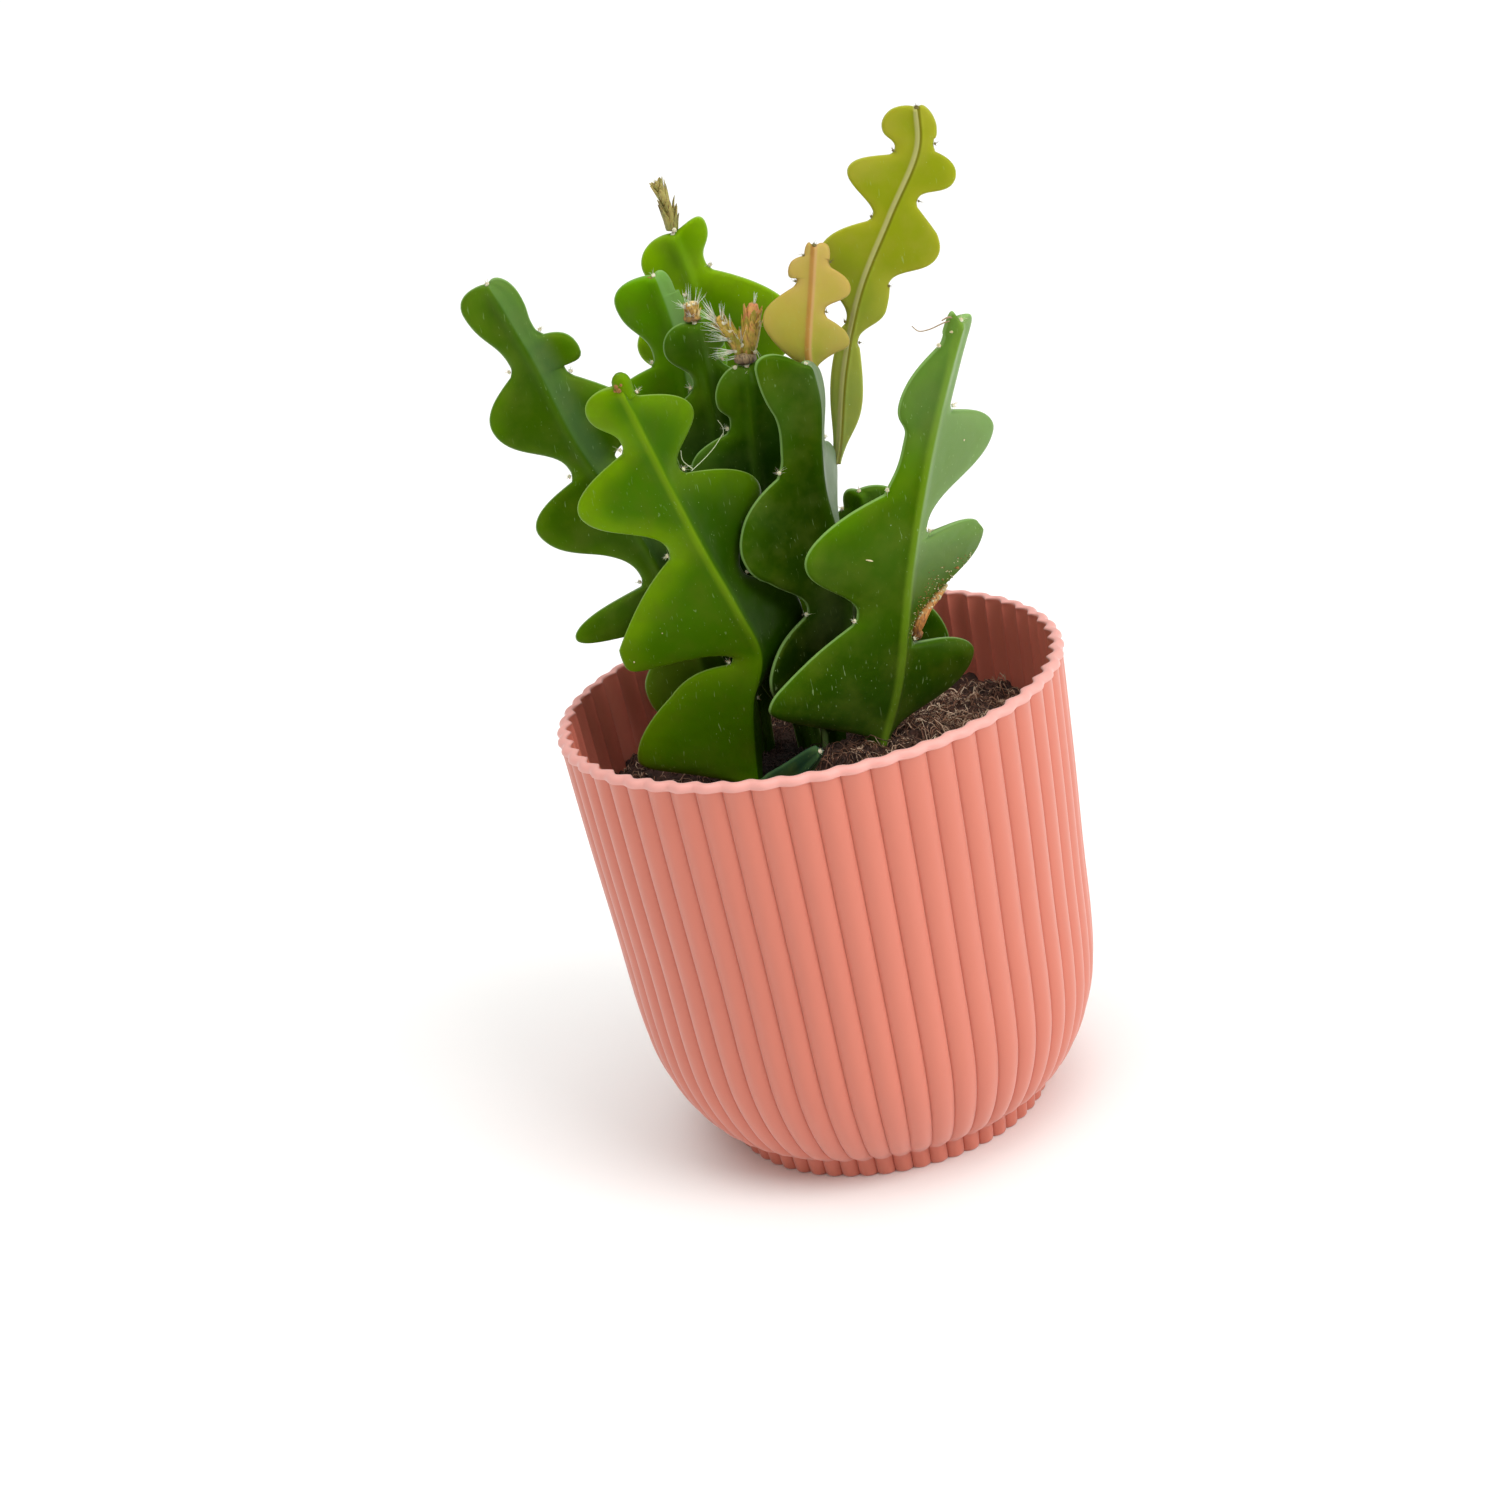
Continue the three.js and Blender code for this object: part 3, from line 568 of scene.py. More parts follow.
def cactus_skin(name, foot_colour, deep, fresh, rib, bloom_and_reflection, margin="8FB56A", edge_highlight_share=0.5, bloom_share=0.1,
                fresh_reach=9.0, rough=0.34, glow=0.06, right_reflection=0.0, right_shade=None, tip_highlight=0.0,
                rib_right=None, rib_from=0.0, rib_width=2.3, rib_share=0.55, foot_reach=0.6,
                reflection_reach=99.0, shine=0.3, worn="566410"):
    """Waxy skin of a stem, from the colours of its foot, heart, lobe edges, midrib, grey bloom with its
    painted reflection, and painted edge highlight.
    """
    material, tree, shader = new_material(name)
    place = add(tree, "TexCoord").outputs["Object"]
    edge, from_rib, along, on_right = [add(tree, "Attribute", attribute_name=field).outputs["Fac"]
                                       for field in ("edge", "rib", "along", "side")]

    # Each layer is its share and its colour. Fresher at the lobe edges, darker at the foot from age and from
    # painted shade near the soil, worn in patches
    cloud = add(tree, "TexNoise", {"Vector": place, "Scale": 1 / (22 * MM), "Detail": 3.0})
    wander = add(tree, "MapRange", {"Value": cloud, "From Min": 0.3, "From Max": 0.7, "To Min": -4.0,
                                    "To Max": 4.0})
    reach = add(tree, "Math", {0: edge, 1: wander}, operation="ADD")
    near = add(tree, "MapRange", {"Value": reach, "From Min": fresh_reach, "From Max": -1.0},
               interpolation_type="SMOOTHSTEP")
    # Darker towards the foot: partly age, partly painted shade near the soil
    low = add(tree, "MapRange", {"Value": along, "From Max": foot_reach, "To Min": 0.85, "To Max": 0.0})
    age = add(tree, "TexNoise", {"Vector": place, "Scale": 1 / (8.5 * MM), "Detail": 4.0, "Roughness": 0.6})
    aged = add(tree, "MapRange", {"Value": age, "From Min": 0.42, "From Max": 0.66, "To Max": 0.3})
    layers = [(near, fresh), (low, foot_colour), (aged, worn)]
    # Painted shade: the right wing, turned away from the light, is painted darker, less so towards the tip
    if right_shade:
        turned = add(tree, "MapRange", {"Value": along, "From Min": 0.5, "From Max": 0.85, "To Min": 0.85,
                                        "To Max": 0.35})
        layers.append((add(tree, "Math", {0: on_right, 1: turned}, operation="MULTIPLY"), right_shade))

    # The midrib, in its own green on each side
    on_rib = add(tree, "MapRange", {"Value": from_rib, "From Min": 0.6, "From Max": rib_width,
                                    "To Min": rib_share, "To Max": 0.0}, interpolation_type="SMOOTHSTEP")
    if rib_from:
        rib_start = add(tree, "MapRange", {"Value": along, "From Min": rib_from - 0.12,
                                           "From Max": rib_from + 0.12}, interpolation_type="SMOOTHSTEP")
        on_rib = add(tree, "Math", {0: on_rib, 1: rib_start}, operation="MULTIPLY")
    rib_tone = add(tree, "Mix", {0: on_right, "A": linear(rib), "B": linear(rib_right or rib)},
                   data_type="RGBA")
    layers.append((on_rib, rib_tone))

    # Grey wax bloom: clouds of it all over. Beside the rib on the upper right wing the same grey-green is a
    # painted reflection of the window, and at the tip a painted highlight
    mist = add(tree, "TexNoise", {"Vector": place, "Scale": 1 / (17 * MM), "Detail": 3.0, "Roughness": 0.55})
    misted = add(tree, "MapRange", {"Value": mist, "From Min": 0.45, "From Max": 0.8,
                                    "To Max": 2.5 * bloom_share})
    layers.append((misted, bloom_and_reflection))
    # Painted reflection of the window: grey-green on the upper right wing beside the rib
    if right_reflection:
        up_high = add(tree, "MapRange", {"Value": along, "From Min": 0.3, "From Max": 0.5,
                                         "To Max": right_reflection}, interpolation_type="SMOOTHSTEP")
        by_rib = add(tree, "MapRange", {"Value": from_rib, "From Min": 0.3 * reflection_reach,
                                        "From Max": reflection_reach, "To Min": 1.0, "To Max": 0.0},
                     interpolation_type="SMOOTHSTEP")
        painted_reflection = add(tree, "Math", {0: up_high, 1: by_rib}, operation="MULTIPLY")
        layers.append((add(tree, "Math", {0: on_right, 1: painted_reflection}, operation="MULTIPLY"), bloom_and_reflection))
    # Painted highlight: grey-green towards the tip
    if tip_highlight:
        high = add(tree, "MapRange", {"Value": along, "From Min": 0.62, "From Max": 0.85,
                                      "To Max": tip_highlight}, interpolation_type="SMOOTHSTEP")
        layers.append((high, bloom_and_reflection))

    # Pale pores in groups, 5 mm apart
    pore = add(tree, "TexVoronoi", {"Vector": place, "Scale": 1 / (5 * MM)})
    dot = add(tree, "MapRange", {"Value": pore, "From Min": 0.015, "From Max": 0.04, "To Min": 1.0,
                                 "To Max": 0.0})
    few = add(tree, "TexNoise", {"Vector": place, "Scale": 1 / (12 * MM)})
    patch = add(tree, "MapRange", {"Value": few, "From Min": 0.5, "From Max": 0.6, "To Max": 0.6})
    layers.append((add(tree, "Math", {0: dot, 1: patch}, operation="MULTIPLY"), "B9CFA2"))

    # Dust: specks 2 mm apart and short scratches, more on the lower lobes
    grit = add(tree, "TexVoronoi", {"Vector": place, "Scale": 1 / (2.1 * MM)})
    speck = add(tree, "MapRange", {"Value": grit, "From Min": 0.03, "From Max": 0.09, "To Min": 0.9,
                                   "To Max": 0.0})
    long_way = add(tree, "Mapping", {"Vector": place, "Rotation": (0.9, 0.7, 0.3), "Scale": (1.0, 1.0, 0.2)})
    scratch = add(tree, "TexNoise", {"Vector": long_way, "Scale": 1 / (0.5 * MM), "Detail": 0.0,
                                     "Distortion": 0.6})
    scored = add(tree, "MapRange", {"Value": scratch, "From Min": 0.76, "From Max": 0.82, "To Max": 0.45})
    marks = add(tree, "Math", {0: speck, 1: scored}, operation="MAXIMUM")
    dusty = add(tree, "TexNoise", {"Vector": place, "Scale": 1 / (14 * MM), "Detail": 3.0})
    dust_share = add(tree, "MapRange", {"Value": dusty, "From Min": 0.45, "From Max": 0.6, "To Min": 0.12,
                                        "To Max": 0.6})
    settled = add(tree, "MapRange", {"Value": along, "From Min": 0.1, "From Max": 0.9, "To Min": 1.5,
                                     "To Max": 0.6})
    dust_share = add(tree, "Math", {0: dust_share, 1: settled}, operation="MULTIPLY")
    layers.append((add(tree, "Math", {0: marks, 1: dust_share}, operation="MULTIPLY"), "A9C488"))

    # Painted highlight: a thin pale line along every edge, where the rounded edges catch the light
    rim = add(tree, "MapRange", {"Value": edge, "From Min": 0.1, "From Max": 0.5, "To Min": edge_highlight_share,
                                 "To Max": 0.0}, interpolation_type="SMOOTHSTEP")
    layers.append((rim, margin))
    skin = linear(deep)
    for share, tone in layers:
        tone = linear(tone) if isinstance(tone, str) else tone
        skin = add(tree, "Mix", {0: share, "A": skin, "B": tone}, data_type="RGBA")

    # Duller where the bloom lies, with soft dents 9 mm across and fine pores
    gloss = add(tree, "MapRange", {"Value": mist, "From Min": 0.3, "From Max": 0.7, "To Min": rough - 0.05,
                                   "To Max": rough + 0.1})
    dents = add(tree, "TexNoise", {"Vector": place, "Scale": 1 / (9 * MM)})
    pores = add(tree, "TexNoise", {"Vector": place, "Scale": 1 / (0.9 * MM), "Detail": 1.0})
    soft = add(tree, "Bump", {"Height": dents, "Strength": 0.5, "Distance": 1.2 * MM})
    fine = add(tree, "Bump", {"Height": pores, "Strength": 0.1, "Distance": 0.1 * MM, "Normal": soft})
    connect(shader, {"Base Color": skin, "Roughness": gloss, "Normal": fine, "IOR": 1.4,
                     "Specular IOR Level": shine, "Specular Tint": linear("B9D63C"),
                     "Subsurface Weight": glow, "Subsurface Radius": (0.5, 1.0, 0.1),
                     "Subsurface Scale": 1.5 * MM})
    return material


# Old skin: deep green with a waxy half gloss, fresher at the lobes, with a painted highlight as a thin pale
# line along every edge
dark_skin = cactus_skin("cactus_skin_dark", foot_colour="1A3604", deep="224400", fresh="3E6404", rib="3E6408",
                        bloom_and_reflection="5C8560", bloom_share=0.05, rib_share=0.4)
# The same skin on the tall left stem, painted lighter out of the shade: more olive at its foot, with a
# painted highlight on the right wing by the rib
left_skin = cactus_skin("cactus_skin_left", foot_colour="586F12", deep="2E4E00", fresh="466A04", rib="4C7416",
                        bloom_and_reflection="7C9A7E", bloom_share=0.015, rib_share=0.25, rib_width=1.9, right_reflection=0.13,
                        reflection_reach=8.0, foot_reach=0.4)
# The darkest skin, with a painted reflection in grey-green on its right wing
shade_skin = cactus_skin("cactus_skin_shaded", foot_colour="040E01", deep="284600", fresh="325402", rib="345406",
                         bloom_and_reflection="8A9C80", bloom_share=0.03, right_reflection=0.6, foot_reach=0.85)
# Skin of the low stem, which stands in the shade of all the others: blue-green and dull
low_skin = cactus_skin("cactus_skin_low", foot_colour="102014", deep="14291A", fresh="1A3422", rib="203C28",
                       bloom_and_reflection="4C6C5C", margin="3C5C40", edge_highlight_share=0.3, bloom_share=0.08)
# Skin in full light: yellow-green towards the lobe edges, with a lighter rib
bright_skin = cactus_skin("cactus_skin_bright", foot_colour="2B4E00", deep="527C00", fresh="7AA402", rib="6C9410",
                          bloom_and_reflection="7FA35A", margin="A5C46A", fresh_reach=15.0, bloom_share=0.03, edge_highlight_share=0.4)
# The same skin with its right wing turned away from the light and painted darker as painted shade
front_skin = cactus_skin("cactus_skin_front", foot_colour="3E6400", deep="3E6900", fresh="6A9202", rib="84A41C",
                         bloom_and_reflection="7FA35A", margin="9CBC62", fresh_reach=15.0, bloom_share=0.012, edge_highlight_share=0.4,
                         right_shade="153200", rib_from=0.36, rib_width=1.5, rib_share=0.4, rib_right="426A00",
                         shine=0.2)
# Skin with a grey-green wax bloom over the green, a painted reflection on its upper right wing and a painted
# highlight at its tip
sheen_skin = cactus_skin("cactus_skin_bloomed", foot_colour="1E3A04", deep="365A00", fresh="4A7204", rib="749620",
                         bloom_and_reflection="829E66", bloom_share=0.02, right_reflection=0.5, tip_highlight=0.18, rib_width=1.7,
                         rib_share=0.5)
# The farther bloomed skin, greener, with a painted reflection on its upper right wing
far_skin = cactus_skin("cactus_skin_far", foot_colour="2E5004", deep="4A7A02", fresh="5C9004", rib="56860C",
                       bloom_and_reflection="7C9C70", bloom_share=0.05, right_reflection=0.36, reflection_reach=10.0)

# Each stem: its midrib as points x, y, z; the compass angle of each wing at the root and at the tip; and
# the marks of each wing's outline
stem_shapes = {
    "stem_front_left": dict(
        skin=front_skin, slot="stem_bright",
        path=[(-20.4, -11.9, 108.2), (-20, -12, 111.7), (-17, -13, 132), (-12, -14, 146), (-15, -16, 160),
              (-20, -18, 177), (-27.5, -24, 208), (-32, -28, 228)],
        wings=[(168, 168), (58, 32)],
        left=[(8, 31.5), (33.5, 8), (49.5, 36.2), (73.5, 9.8), (94.5, 26), (106.5, 7.8), (119.5, 11.5)],
        right=[(13.5, 6), (23.5, 4), (41.5, 21.5), (57.5, 10), (75.5, 26), (93.5, 6.5), (107.5, 16.4),
               (119.5, 4), (123.5, 3)]),
    "stem_front_right": dict(
        skin=sheen_skin, slot="stem_sheen",
        path=[(15.5, -18, 116.8), (22, -19, 131), (31.5, -21, 165), (42, -25, 197), (53, -29, 224),
              (55, -30, 228)],
        wings=[(198, 198), (36, 36)],
        left=[(6.2, 36), (34, 14), (53, 30), (70.5, 9.5, 16), (95, 10.5), (110, 4), (118, 3.4)],
        right=[(21, 29), (27, 6), (56.5, 27), (57.5, 7), (86.5, 24), (93, 7), (116, 5.4)]),
    "stem_centre": dict(
        skin=shade_skin, slot="stem_dark",
        path=[(4, 1, 114.2), (5, 1, 122), (9, 1, 134), (13.8, 1, 151), (13.9, 0, 166), (12.6, -1, 183),
              (13.6, -2, 195), (15.6, -3, 208), (15.2, -4, 218.6)],
        wings=[(225, 201), (67, 67)], crown=(7, -1),
        left=[(18, 27), (36, 14), (64, 28.4), (77, 11.6, 7), (109, 13.8)],
        right=[(28, 20), (52, 8.5), (75, 15.6), (81.5, 9), (99, 8.8)]),
    "stem_left": dict(
        skin=left_skin, slot="stem_dark",
        path=[(-26, 2, 111.9), (-27, 0, 133), (-28.5, 0, 151), (-36.5, 0, 181), (-48, 0, 210), (-54, 0, 233),
              (-61, 0, 255)],
        wings=[(178, 175), (10, 10)],
        left=[(26, 17), (38, 8), (51, 30), (57, 7), (86, 23), (92.5, 7), (113, 18.5), (124, 7.5), (144, 10)],
        right=[(16, 8), (30, 6), (48, 16), (64, 7), (82, 20), (88, 8), (98, 20), (117, 8), (123, 12.5),
               (130, 6), (142, 5.8)]),
    "stem_back_left": dict(
        skin=far_skin, slot="stem_sheen",
        path=[(-26, 38, 112.5), (-23, 36, 150), (-20, 33, 190), (-17.5, 32, 208), (-17.5, 32, 225),
              (-19.5, 32, 242.5)],
        wings=[(180, 180), (20, 20)],
        left=[(22, 18), (40, 8), (62, 24), (80, 8), (98, 19), (106, 8), (126, 12.5)],
        right=[(26, 16), (46, 7), (66, 18), (84, 7), (106, 14), (121, 7), (126, 4.6)]),
    "stem_back": dict(
        skin=bright_skin, slot="stem_bright",
        path=[(-10, 50, 112), (-8, 48, 150), (-7, 46, 190), (-8, 46, 215), (-9.5, 46, 233), (-12, 46, 250)],
        wings=[(180, 180), (0, 0)],
        left=[(30, 20), (50, 8), (70, 24), (90, 8), (110, 20), (122, 8), (132, 11.5)],
        right=[(24, 18), (44, 8), (64, 22), (84, 8), (106, 26), (125.5, 7), (138, 9.5)]),
    "stem_middle_left": dict(
        skin=dark_skin, slot="stem_dark",
        path=[(-16, 22, 112.3), (-14, 21, 150), (-12, 20, 190), (-11, 20, 215), (-11, 20, 230)],
        wings=[(180, 180), (15, 15)],
        left=[(14, 22), (30, 7), (50, 22), (68, 8), (86, 16), (99, 5), (112, 9.6)],
        right=[(18, 12), (40, 7), (58, 14), (74, 6), (96, 11), (105, 6), (113, 7.5)]),
    "stem_middle": dict(
        skin=dark_skin, slot="stem_dark",
        path=[(-3, 14, 112.1), (-4, 13, 150), (-3, 12, 175), (-1.5, 11, 200), (0.5, 10, 218)],
        wings=[(182, 182), (5, 5)],
        left=[(20, 10), (36, 6), (52, 18), (64, 8), (79, 18), (88, 7), (98, 9)],
        right=[(20, 9), (36, 6), (50, 12), (66, 7), (94, 19.5), (102, 5, 1)]),
    "stem_back_right": dict(
        skin=dark_skin, slot="stem_dark",
        path=[(20, 34, 111.8), (24, 33, 133), (24.5, 32, 157), (24.5, 31, 172)],
        wings=[(178, 178), (5, 5)],
        left=[(16, 14), (30, 6), (46, 12), (56, 6, 1)],
        right=[(13, 20), (30, 6), (54, 12)]),
    "stem_low": dict(
        skin=low_skin, slot="stem_dark",
        path=[(-21, -37, 111.4), (-19, -37.5, 114.6), (-13, -38.3, 117.2), (-6.5, -39, 120.6),
              (-0.8, -39.4, 125.2)],
        wings=[(185, 185), (5, 5)],
        left=[(9, 5.8)],
        right=[(10, 4.2)]),
}

grown, stem_slots = {}, {}


def grow(node_name, skin, slot, **shape):
    """Adds the blade of one stem in place of its solid, and keeps it for the small pieces that sit on it."""
    blade = Blade(**shape)
    grown[node_name], stem_slots[node_name] = blade, slot
    points, faces, fields = blade.mesh()
    piece = add_mesh(node_name + "_blade", points, faces, skin, slot, fields)
    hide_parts(node_name)


for number, (node_name, shape) in enumerate(stem_shapes.items()):
    grow(node_name, seed=1.7 * number, **shape)


# Young shoots: this year's growth from two spine spots of the centre stem, thin, soft and not yet green.
# The tall one stands on a narrow ribbed stalk, the short one on the stem's tip.
SHOOT_RADIUS = 1.4
SHOOT_THINNESS = 0.6

# Young skin: yellow-green, half see-through, so that it glows, with a pale and a dark side to its rib
young_skin = cactus_skin("young_cactus_skin", foot_colour="7C9150", deep="858E14", fresh="989824", rib="AEAA6E",
                         rib_right="5E5606", worn="989038", bloom_and_reflection="C0BC62", margin="ACAC50", fresh_reach=8.0,
                         bloom_share=0.03, rough=0.4, glow=0.25, rib_width=1.2, rib_share=0.85)
# The youngest skin, amber from the red pigment that guards new growth, with an orange rib
amber_skin = cactus_skin("amber_cactus_skin", foot_colour="7E8A24", deep="AC9A46", fresh="B69A56", rib="A8743A",
                         rib_right="B88E60", worn="A88A30", bloom_and_reflection="CFA878", margin="A98648", fresh_reach=6.0,
                         bloom_share=0.1, rough=0.42, glow=0.25, rib_width=1.2, rib_share=0.85)
shoot_shapes = {
    "shoot_tall": dict(
        skin=young_skin, slot="shoot_young",
        path=[(19.3, 12, 186.6), (20.6, 12.2, 190), (26.1, 13, 211), (34, 13, 231), (45.3, 13, 249),
              (55.5, 13, 265), (57, 13, 275)],
        wings=[(180, 180), (2, 2)],
        left=[(25.6, 3.4), (36.6, 2.4), (53.6, 13.8), (64.6, 5), (75.0, 15.3), (83.1, 6.5), (93.8, 9.4)],
        right=[(17.6, 5.8), (31.6, 3.4), (43.6, 8.4), (50.1, 7.6, 1), (63.6, 16.4), (73.1, 6), (82.6, 12.2),
               (86.9, 5), (91.6, 5)]),
    "shoot_short": dict(
        skin=amber_skin, slot="shoot_amber",
        path=[(16.8, 1, 214.4), (17.1, 1, 220.3), (18.5, 2, 226), (20.7, 4, 234), (24, 6, 246.5)],
        wings=[(180, 180), (3, 3)],
        left=[(14.1, 12.2), (22.6, 4.8), (26.6, 6.4), (30.7, 3, 0.4)],
        right=[(9.0, 11), (15.1, 4.8), (22.6, 10.4), (28.1, 5), (31.6, 4.4)]),
}
for node_name, shape in shoot_shapes.items():
    grow(node_name, base=SHOOT_RADIUS, thin=SHOOT_THINNESS, wave=0.3, seed=0.4, **shape)


# Spine spots: one in every notch and on every tip, a small felt cushion of cream wool with short soft
# bristles. A fishbone cactus grows these instead of leaves, pressed down flat between two lobes.
def hair(spot, way, length, radius, bend=0.25):
    """One hair that starts at a spot, leaves along way and bends a little."""
    way = np.asarray(way, float) / np.linalg.norm(way)
    drift = random.normal(0, bend, 3)
    share = np.linspace(0, 1, 4)[:, None]
    return tube(np.asarray(spot) + length * (way * share + drift * share ** 2 * 0.5),
                radius * (1.15 - share[:, 0]), 3)


def cushion(centre, way, size):
    """A lumpy little ball of felt, flattened along way."""
    way = np.asarray(way, float) / np.linalg.norm(way)
    side = np.cross(way, (0.31, 0.22, 0.93))
    side /= np.linalg.norm(side)
    other = np.cross(way, side)
    points = [centre - 0.6 * size * way]
    for polar in (0.6, 1.15, 1.7, 2.3):
        for turn in np.arange(7) * 2 * np.pi / 7:
            lump = size * random.uniform(0.8, 1.15)
            around = math.sin(polar) * (math.cos(turn) * side + math.sin(turn) * other)
            points.append(centre + lump * (around - 0.6 * math.cos(polar) * way))
    return [*points, centre + 0.6 * size * way], ring_faces(4, 7)


def spine_spot(centre, way, size=0.62, hairs=16):
    """Cushion, wool and bristles of one spine spot."""
    parts = [cushion(centre, way, size)]
    for _ in range(hairs):
        lean = way + random.normal(0, 0.75, 3)
        parts.append(hair(centre + 0.3 * size * random.normal(0, 1, 3), lean, random.uniform(0.7, 1.5),
                          0.06, 0.7))
    for _ in range(2):
        parts.append(hair(centre, way + random.normal(0, 0.45, 3), random.uniform(1.4, 2.3), 0.07, 0.1))
    return parts


def flecked(name, dark, light, fleck, roughness, detail=1.0, glow=0.0, glow_depth=0.5):
    """A dry plant material in two tones, with flecks and a depth of glow in millimetres."""
    material, tree, shader = new_material(name)
    place = add(tree, "TexCoord").outputs["Object"]
    flecks = add(tree, "TexNoise", {"Vector": place, "Scale": 1 / (fleck * MM), "Detail": detail})
    tone = add(tree, "Mix", {0: flecks, "A": linear(dark), "B": linear(light)}, data_type="RGBA")
    connect(shader, {"Base Color": tone, "Roughness": roughness})
    if glow:
        connect(shader, {"Subsurface Weight": glow, "Subsurface Scale": glow_depth * MM})
    return material


# Plant wool: cream white, matt and a little see-through, so that it looks soft and bright against the green
plant_wool = flecked("cream_plant_wool", "B8A878", "EFEBD6", 1.2, 0.9, glow=0.2)
# On the young shoots the spots are still bare of wool, small and brown
brown_felt = flecked("brown_spine_spot", "4E4A1E", "8A7A3E", 0.6, 0.8, detail=2.0)

for node_name, blade in grown.items():
    spots = []
    young = node_name in shoot_shapes
    size, hairs = (0.42, 5) if young else (0.62, 16)
    for side in (0, 1):
        for notch in blade.notches[side]:
            dip = 0.45 * min(notch[2] if len(notch) > 2 else SINUS_LENGTH, SINUS_LENGTH)
            at = blade.place(side, [notch[0] + dip], [notch[1] - 0.5], [0.5])[0]
            _, axis, wing, normal, _ = blade.frame_at(notch[0])
            spots += spine_spot(at, 0.7 * wing[side][0] + 0.6 * normal[side][0] + 0.5 * axis[0], size, hairs)
    # The front left stem ends in new growth instead
    if node_name != "stem_front_left":
        tip, tip_way, _, _, tip_front = blade.frame_at(blade.length + 0.2)
        spots += spine_spot(tip[0] + 1.0 * tip_front[0], tip_way[0] + 0.6 * tip_front[0], 0.7, 10)
    add_mesh("wool_" + node_name, *bundle(spots), brown_felt if young else plant_wool, stem_slots[node_name])


# Marks of wear: thin corky scars and dry flakes that the stem grew over its hurts, where lobes have rubbed
# or an old spine spot fell off. Each is set into the skin all round.
def flake(blade, side, along, out, length, width, turn=0.0, rise=0.16):
    """A thin domed flake on the front skin, set into it all round."""
    outline = []
    for angle in np.arange(14) * 2 * np.pi / 14:
        reach = random.uniform(0.82, 1.12)
        a, b = 0.5 * length * reach * math.cos(angle), 0.5 * width * reach * math.sin(angle)
        outline.append((along + a * math.cos(turn) - b * math.sin(turn),
                        out + a * math.sin(turn) + b * math.cos(turn)))
    shoulder = [blade.on_skin(side, along + 0.75 * (x - along), abs(out + 0.75 * (y - out)), 0.75 * rise)
                for x, y in outline]
    rim = [blade.on_skin(side, x, abs(y), -0.12) for x, y in outline]
    points = [blade.on_skin(side, along, out, rise), *shoulder, *rim, blade.on_skin(side, along, out, -0.4)]
    return points, [face[::-1] for face in ring_faces(2, 14)]


# Cork: dry cream to tan scar tissue, dull, with darker flecks
cork = flecked("cork_scar", "B39A62", "E4DFB8", 0.7, 0.7, detail=2.0)
# Brown cork: the same tissue when it is old or wet, dark brown to orange
brown_cork = flecked("brown_cork_scar", "4E3012", "B07C38", 0.6, 0.8, detail=2.0)

# Each flake: side, distance along, distance out, length, width, turn
pale_flakes = {
    "stem_centre": [(0, 105.2, 6.9, 1.3, 1.0, 0)],
    "stem_front_right": [(0, 53.2, 12.0, 0.55, 2.9, -0.25), (1, 84.8, 11.9, 0.7, 0.6, 0),
                         (0, 116, 1.9, 0.9, 0.8, 0), (1, 107, 0.5, 1.0, 0.5, 0), (1, 60.5, 4.2, 0.8, 0.5, 0)],
    "stem_front_left": [(0, 50.7, 32.5, 0.5, 0.5, 0), (0, 55.5, 21, 0.5, 0.4, 0),
                        (1, 38, 12.5, 0.4, 1.5, 0.3), (0, 31.5, 20, 0.4, 0.9, 0.4)],
    "stem_middle_left": [(1, 113.2, 0.5, 2.6, 0.55, 0.08), (1, 110.2, 0.7, 2.8, 0.6, 0.08),
                         (1, 105.6, 0.9, 4.0, 1.1, 0.1)],
    "stem_left": [(1, 141.0, 0.5, 3.6, 0.35, -0.05), (1, 137.4, 0.3, 3.2, 0.35, -0.05),
                  (0, 133.8, 0.2, 3.4, 0.32, 0), (0, 130.6, 0.2, 2.6, 0.45, 0),
                  (0, 127.6, 0.3, 2.8, 0.5, 0), (0, 125.2, 0.4, 1.5, 0.6, 0)],
    "stem_back": [(0, 135.6, 7.0, 1.6, 1.1, 0)],
    "stem_back_left": [(0, 127.6, 1.2, 3.6, 0.6, 0.1)],
}
brown_flakes = {
    "stem_front_right": [(1, 57.5, 9.5, 0.6, 2.2, 0), (1, 57.2, 6.8, 0.8, 1.0, 0),
                         (1, 46.8, 18.0, 0.9, 1.6, 0.4)],
    "stem_left": [(0, 146.0, 1.6, 1.2, 3.2, 0), (1, 146.0, 1.2, 1.0, 1.6, 0)],
    "stem_back_left": [(0, 130.6, 1.6, 0.8, 2.2, 0)],
}
# Bark dust from the dried root, spread over the lower half of the lobe it lies on
for number in range(170):
    row, share = random.uniform(30, 47), random.uniform(0.25, 0.92)
    edge_along, edge_out = grown["stem_front_right"].edge(1, row)
    grains = brown_flakes if number % 3 else pale_flakes
    grains["stem_front_right"].append((1, row + (edge_along - row) * share, edge_out * share,
                                       random.uniform(0.2, 0.45), random.uniform(0.18, 0.32),
                                       random.uniform(0, 3)))
for kind, marks, stuff in (("scars_", pale_flakes, cork), ("cork_", brown_flakes, brown_cork)):
    for node_name, spots in marks.items():
        add_mesh(kind + node_name, *bundle([flake(grown[node_name], *spot) for spot in spots]), stuff,
                 stem_slots[node_name])


# Loose threads: a dried flower thread curled off the front right tip, and stray soil fibres that cling to
# the wool of the stems
def curved_thread(path, radius):
    """A thread along a smooth curve, finer towards its end."""
    dense = smooth_path(path, 6)
    return tube(dense, np.linspace(radius, 0.6 * radius, len(dense)), 4)


